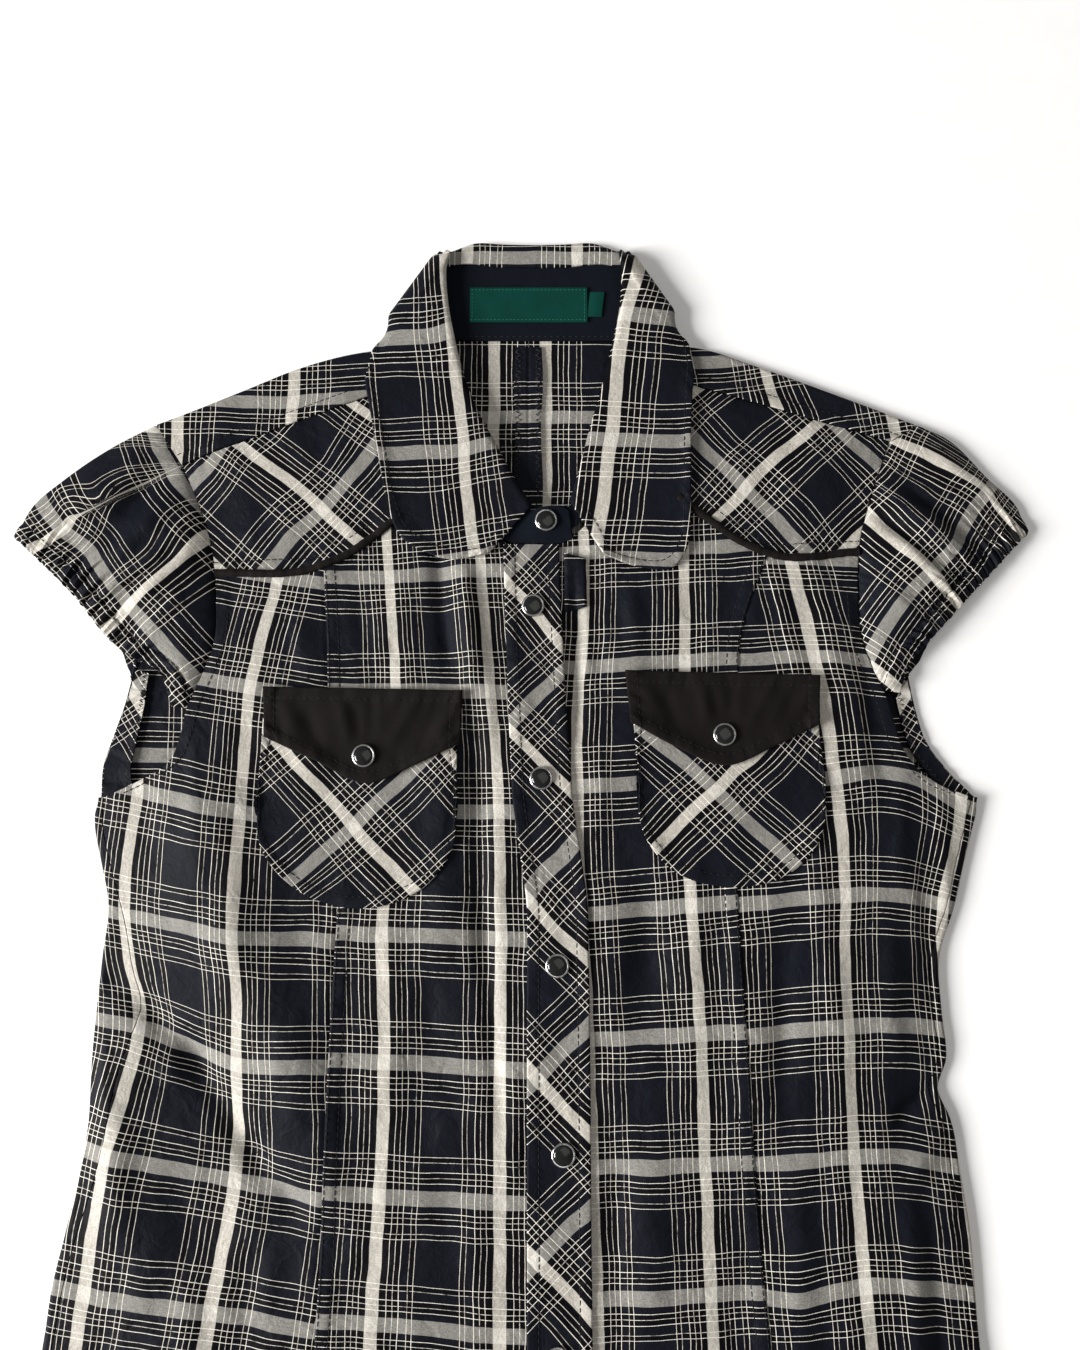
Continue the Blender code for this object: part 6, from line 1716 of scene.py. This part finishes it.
def make_materials(colours):
    """The plaid, the plain cloths, the threads, the two parts of the snaps, and the floor."""
    weave, plaid = make_weave_group(), make_plaid_group()

    tree, shader = principled("plaid_cloth", 0.5, 0.05)
    repeats = grain_map(tree)
    pattern = node(tree, "ShaderNodeGroup",
                   {"Grain": repeats, "Warp Cream": (*colours.cream, 1.0), "Weft Grey": (*colours.grey, 1.0),
                    "Blue": (*colours.blue, 1.0), "Black": (*colours.black, 1.0)}, node_tree=plaid)
    paint(tree, shader, pattern.outputs["Color"])
    threads = node(tree, "ShaderNodeGroup", {"Grain": repeats, "Threads": 105.0}, node_tree=weave)
    crease = noise(tree, repeats, 7.0, 3.0, Distortion=0.6)
    bump(tree, shader, maths(tree, "MULTIPLY_ADD", crease.outputs["Fac"], 8.0, threads.outputs["Height"]))

    for name, colour, fleck, roughness, threads_count, sheen in (
            ("twill_cloth", colours.twill, 0.5, 0.68, 110.0, 0.02),
            ("stand_cloth", colours.stand, 0.5, 0.88, 100.0, 0.01),
            ("label_cloth", colours.label, 0.35, 0.6, 150.0, 0.01)):
        tree, shader = principled(name, roughness, 0.06, sheen)
        repeats = grain_map(tree)
        threads = node(tree, "ShaderNodeGroup", {"Grain": repeats, "Threads": threads_count},
                       node_tree=weave)
        parts = node(tree, "ShaderNodeSeparateXYZ", {0: repeats})
        slope = maths(tree, "ADD", parts.outputs[0], parts.outputs[1])
        rib = maths(tree, "SINE", maths(tree, "MULTIPLY", slope, 2 * math.pi * TWILL_RIBS))
        wear = noise(tree, repeats, 5.0, 4.0).outputs["Fac"]
        shade = maths(tree, "MULTIPLY_ADD", threads.outputs["Fleck"], fleck, 1 - fleck / 2)
        shade = maths(tree, "MULTIPLY", shade, maths(tree, "MULTIPLY_ADD", wear, 0.6, 0.7))
        paint(tree, shader, tinted(tree, colour, shade))
        height = maths(tree, "MULTIPLY_ADD", rib, 0.3, threads.outputs["Height"])
        bump(tree, shader, maths(tree, "MULTIPLY_ADD", wear, 4.0, height))

    for name, colour in (("thread", colours.thread), ("thread_dark", colours.thread_dark),
                         ("thread_green", colours.thread_green)):
        tree, shader = principled(name, 0.75, 0.15)
        twist = maths(tree, "MULTIPLY_ADD", mottle(tree, 900.0, 2.0), 0.8, 0.6)
        paint(tree, shader, tinted(tree, colour, twist))

    tree, shader = principled("snap_ring", 0.24, 0.5, metallic=1.0)
    tarnish = mottle(tree, 700.0, 3.0)
    paint(tree, shader, ramp(tree, tarnish, [(0.3, 0.52), (0.6, 0.78)]))
    tree.links.new(maths(tree, "MULTIPLY_ADD", tarnish, 0.25, 0.12), shader.inputs["Roughness"])

    tree, shader = principled("cap_gloss", 0.14, 0.35)
    swirl = node(tree, "ShaderNodeMix", {0: mottle(tree, 160.0, 2.0, Distortion=1.5),
                                         6: (*colours.cap_dark, 1.0), 7: (*colours.cap_light, 1.0)},
                 data_type="RGBA")
    paint(tree, shader, swirl.outputs[2])

    tree, shader = principled("floor", 0.9, 0.1)
    paint(tree, shader, ramp(tree, mottle(tree, 60.0, 3.0), [(0.3, 0.86), (0.7, 0.88)]))


# ---------------------------------------------------------------- stage

FLOOR_Z = -0.0001
FLOOR_HALF = 2.0
# Soft lights: place in metres, size in metres, power in watts, colour
LIGHTS = {
    "window": ((-3.3, -0.75, 1.6), 1.7, 345.0, (1.0, 0.985, 0.97)),
    "ceiling": ((0.4, 0.3, 1.7), 1.4, 7.0, (1.0, 0.97, 0.93)),
}
SKY = (1.0, 0.985, 0.965)
SKY_STRENGTH = 0.2


def make_floor():
    """The pale surface that the shirt lies on."""
    size = FLOOR_HALF
    mesh = bpy.data.meshes.new("floor")
    mesh.from_pydata([(-size, -size, FLOOR_Z), (size, -size, FLOOR_Z), (size, size, FLOOR_Z),
                      (-size, size, FLOOR_Z)], [], [(0, 1, 2, 3)])
    mesh.materials.append(bpy.data.materials["floor"])
    floor = bpy.data.objects.new("floor", mesh)
    bpy.context.scene.collection.objects.link(floor)


def make_lights():
    """Two soft lights that point at the middle of the shirt, and an even sky."""
    for name, (spot, size, power, colour) in LIGHTS.items():
        data = bpy.data.lights.new(name, "AREA")
        data.shape, data.size, data.energy, data.color = "SQUARE", size, power, colour
        lamp = bpy.data.objects.new(name, data)
        lamp.location = spot
        x, y, z = spot
        lamp.rotation_euler = (math.atan2(math.hypot(x, y), z), 0.0, math.atan2(-y, -x) - math.pi / 2)
        bpy.context.scene.collection.objects.link(lamp)
    world = bpy.data.worlds.new("studio")
    world.use_nodes = True
    back = world.node_tree.nodes["Background"]
    back.inputs[0].default_value = (*SKY, 1.0)
    back.inputs[1].default_value = SKY_STRENGTH
    bpy.context.scene.world = world


def make_camera():
    """The camera of the photograph."""
    bpy.context.scene.view_settings.view_transform = "Standard"
    data = bpy.data.cameras.new("camera")
    data.sensor_width, data.sensor_fit = SENSOR, "AUTO"
    data.lens = FOCAL / PHOTO_SIZE[1] * SENSOR
    camera = bpy.data.objects.new("camera", data)
    camera.location = CAMERA_PLACE
    camera.rotation_euler = (math.radians(CAMERA_TILT), 0.0, 0.0)
    bpy.context.scene.collection.objects.link(camera)
    bpy.context.scene.camera = camera


# ---------------------------------------------------------------- add-on

class ShirtColours(bpy.types.PropertyGroup):
    """Colours of the shirt's cloth, thread and snaps"""

    def tone(name, description, default):
        return bpy.props.FloatVectorProperty(name=name, description=description, default=default, size=3,
                                             subtype="COLOR", min=0.0, max=2.0)

    cream: tone("Cream lines", "Warp yarn of the plaid's bright lines", (0.92, 0.87, 0.77))
    grey: tone("Grey lines", "Weft yarn of the plaid's bright lines", (0.69, 0.67, 0.61))
    blue: tone("Blue ground", "Navy of the plaid's plain squares", (0.0054, 0.0063, 0.0102))
    black: tone("Black ground", "Near black beside the plaid's stripes", (0.0016, 0.0013, 0.0014))
    twill: tone("Twill", "Black twill of the flaps and piping", (0.0068, 0.0056, 0.0050))
    stand: tone("Stand", "Navy cotton of the collar's stand", (0.0040, 0.0058, 0.0095))
    label: tone("Label", "Green of the woven label", (0.0009, 0.037, 0.028))
    thread: tone("Thread", "Sewing thread", (0.008, 0.008, 0.009))
    thread_dark: tone("Overlock thread", "Thread of the seam inside the back", (0.02, 0.02, 0.024))
    thread_green: tone("Label thread", "Thread round the label", (0.012, 0.11, 0.075))
    cap_dark: tone("Cap, dark", "Darker parts of the snaps' caps", (0.0035, 0.0040, 0.0038))
    cap_light: tone("Cap, light", "Lighter parts of the snaps' caps", (0.0120, 0.0135, 0.0130))
    del tone


class SHIRT_OT_materials(bpy.types.Operator):
    """Make the materials of the cloth, thread, snaps and labels"""
    bl_idname, bl_label = "shirt.materials", "Materials"

    def execute(self, context):
        make_materials(context.scene.shirt_colours)
        return {"FINISHED"}


class SHIRT_OT_stage(bpy.types.Operator):
    """Make the floor, the lights and the camera"""
    bl_idname, bl_label = "shirt.stage", "Stage"

    def execute(self, context):
        make_floor()
        make_lights()
        make_camera()
        return {"FINISHED"}


class SHIRT_OT_back(bpy.types.Operator):
    """Make both halves of the back with their shoulder strips, their seam and the armholes' facings"""
    bl_idname, bl_label = "shirt.back", "Back"

    def execute(self, context):
        make_back()
        make_back_seam()
        make_facings()
        return {"FINISHED"}


class SHIRT_OT_fronts(bpy.types.Operator):
    """Make the side fronts and centre fronts with their topstitched seams"""
    bl_idname, bl_label = "shirt.fronts", "Fronts"

    def execute(self, context):
        make_fronts()
        return {"FINISHED"}


class SHIRT_OT_yokes(bpy.types.Operator):
    """Make the front yokes and the piping in their lower seams"""
    bl_idname, bl_label = "shirt.yokes", "Yokes and Piping"

    def execute(self, context):
        make_yokes()
        return {"FINISHED"}


class SHIRT_OT_placket(bpy.types.Operator):
    """Make the placket and the end of the band under it"""
    bl_idname, bl_label = "shirt.placket", "Placket"

    def execute(self, context):
        make_placket()
        return {"FINISHED"}


class SHIRT_OT_collar(bpy.types.Operator):
    """Make the collar and its stand"""
    bl_idname, bl_label = "shirt.collar", "Collar and Stand"

    def execute(self, context):
        make_collar()
        make_stand()
        return {"FINISHED"}


class SHIRT_OT_sleeves(bpy.types.Operator):
    """Make the puffed cap sleeves with their gathered hems"""
    bl_idname, bl_label = "shirt.sleeves", "Sleeves"

    def execute(self, context):
        make_sleeves()
        return {"FINISHED"}


class SHIRT_OT_pockets(bpy.types.Operator):
    """Make the pockets and their flaps"""
    bl_idname, bl_label = "shirt.pockets", "Pockets and Flaps"

    def execute(self, context):
        make_pockets()
        return {"FINISHED"}


class SHIRT_OT_snaps(bpy.types.Operator):
    """Make the snaps with their metal rings and dark caps"""
    bl_idname, bl_label = "shirt.snaps", "Snaps"

    def execute(self, context):
        make_snaps()
        return {"FINISHED"}


class SHIRT_OT_labels(bpy.types.Operator):
    """Make the bare label and its tab"""
    bl_idname, bl_label = "shirt.labels", "Labels"

    def execute(self, context):
        make_labels()
        return {"FINISHED"}


STEPS = (SHIRT_OT_materials, SHIRT_OT_stage, SHIRT_OT_back, SHIRT_OT_fronts, SHIRT_OT_yokes,
         SHIRT_OT_placket, SHIRT_OT_collar, SHIRT_OT_sleeves, SHIRT_OT_pockets, SHIRT_OT_snaps,
         SHIRT_OT_labels)


class SHIRT_PT_panel(bpy.types.Panel):
    """Lists the steps that make the shirt"""
    bl_idname, bl_label = "SHIRT_PT_panel", "Plaid Snap Shirt"
    bl_space_type, bl_region_type, bl_category = "VIEW_3D", "UI", "Shirt"

    def draw(self, context):
        for name in ShirtColours.__annotations__:
            self.layout.prop(context.scene.shirt_colours, name)
        for step in STEPS:
            self.layout.operator(step.bl_idname)


CLASSES = (ShirtColours,) + STEPS + (SHIRT_PT_panel,)


def register():
    for entry in CLASSES:
        bpy.utils.register_class(entry)
    bpy.types.Scene.shirt_colours = bpy.props.PointerProperty(type=ShirtColours)


def unregister():
    del bpy.types.Scene.shirt_colours
    for entry in reversed(CLASSES):
        bpy.utils.unregister_class(entry)


def main():
    register()
    for step in STEPS:
        group, name = step.bl_idname.split(".")
        getattr(getattr(bpy.ops, group), name)()


if __name__ == "__main__":
    main()
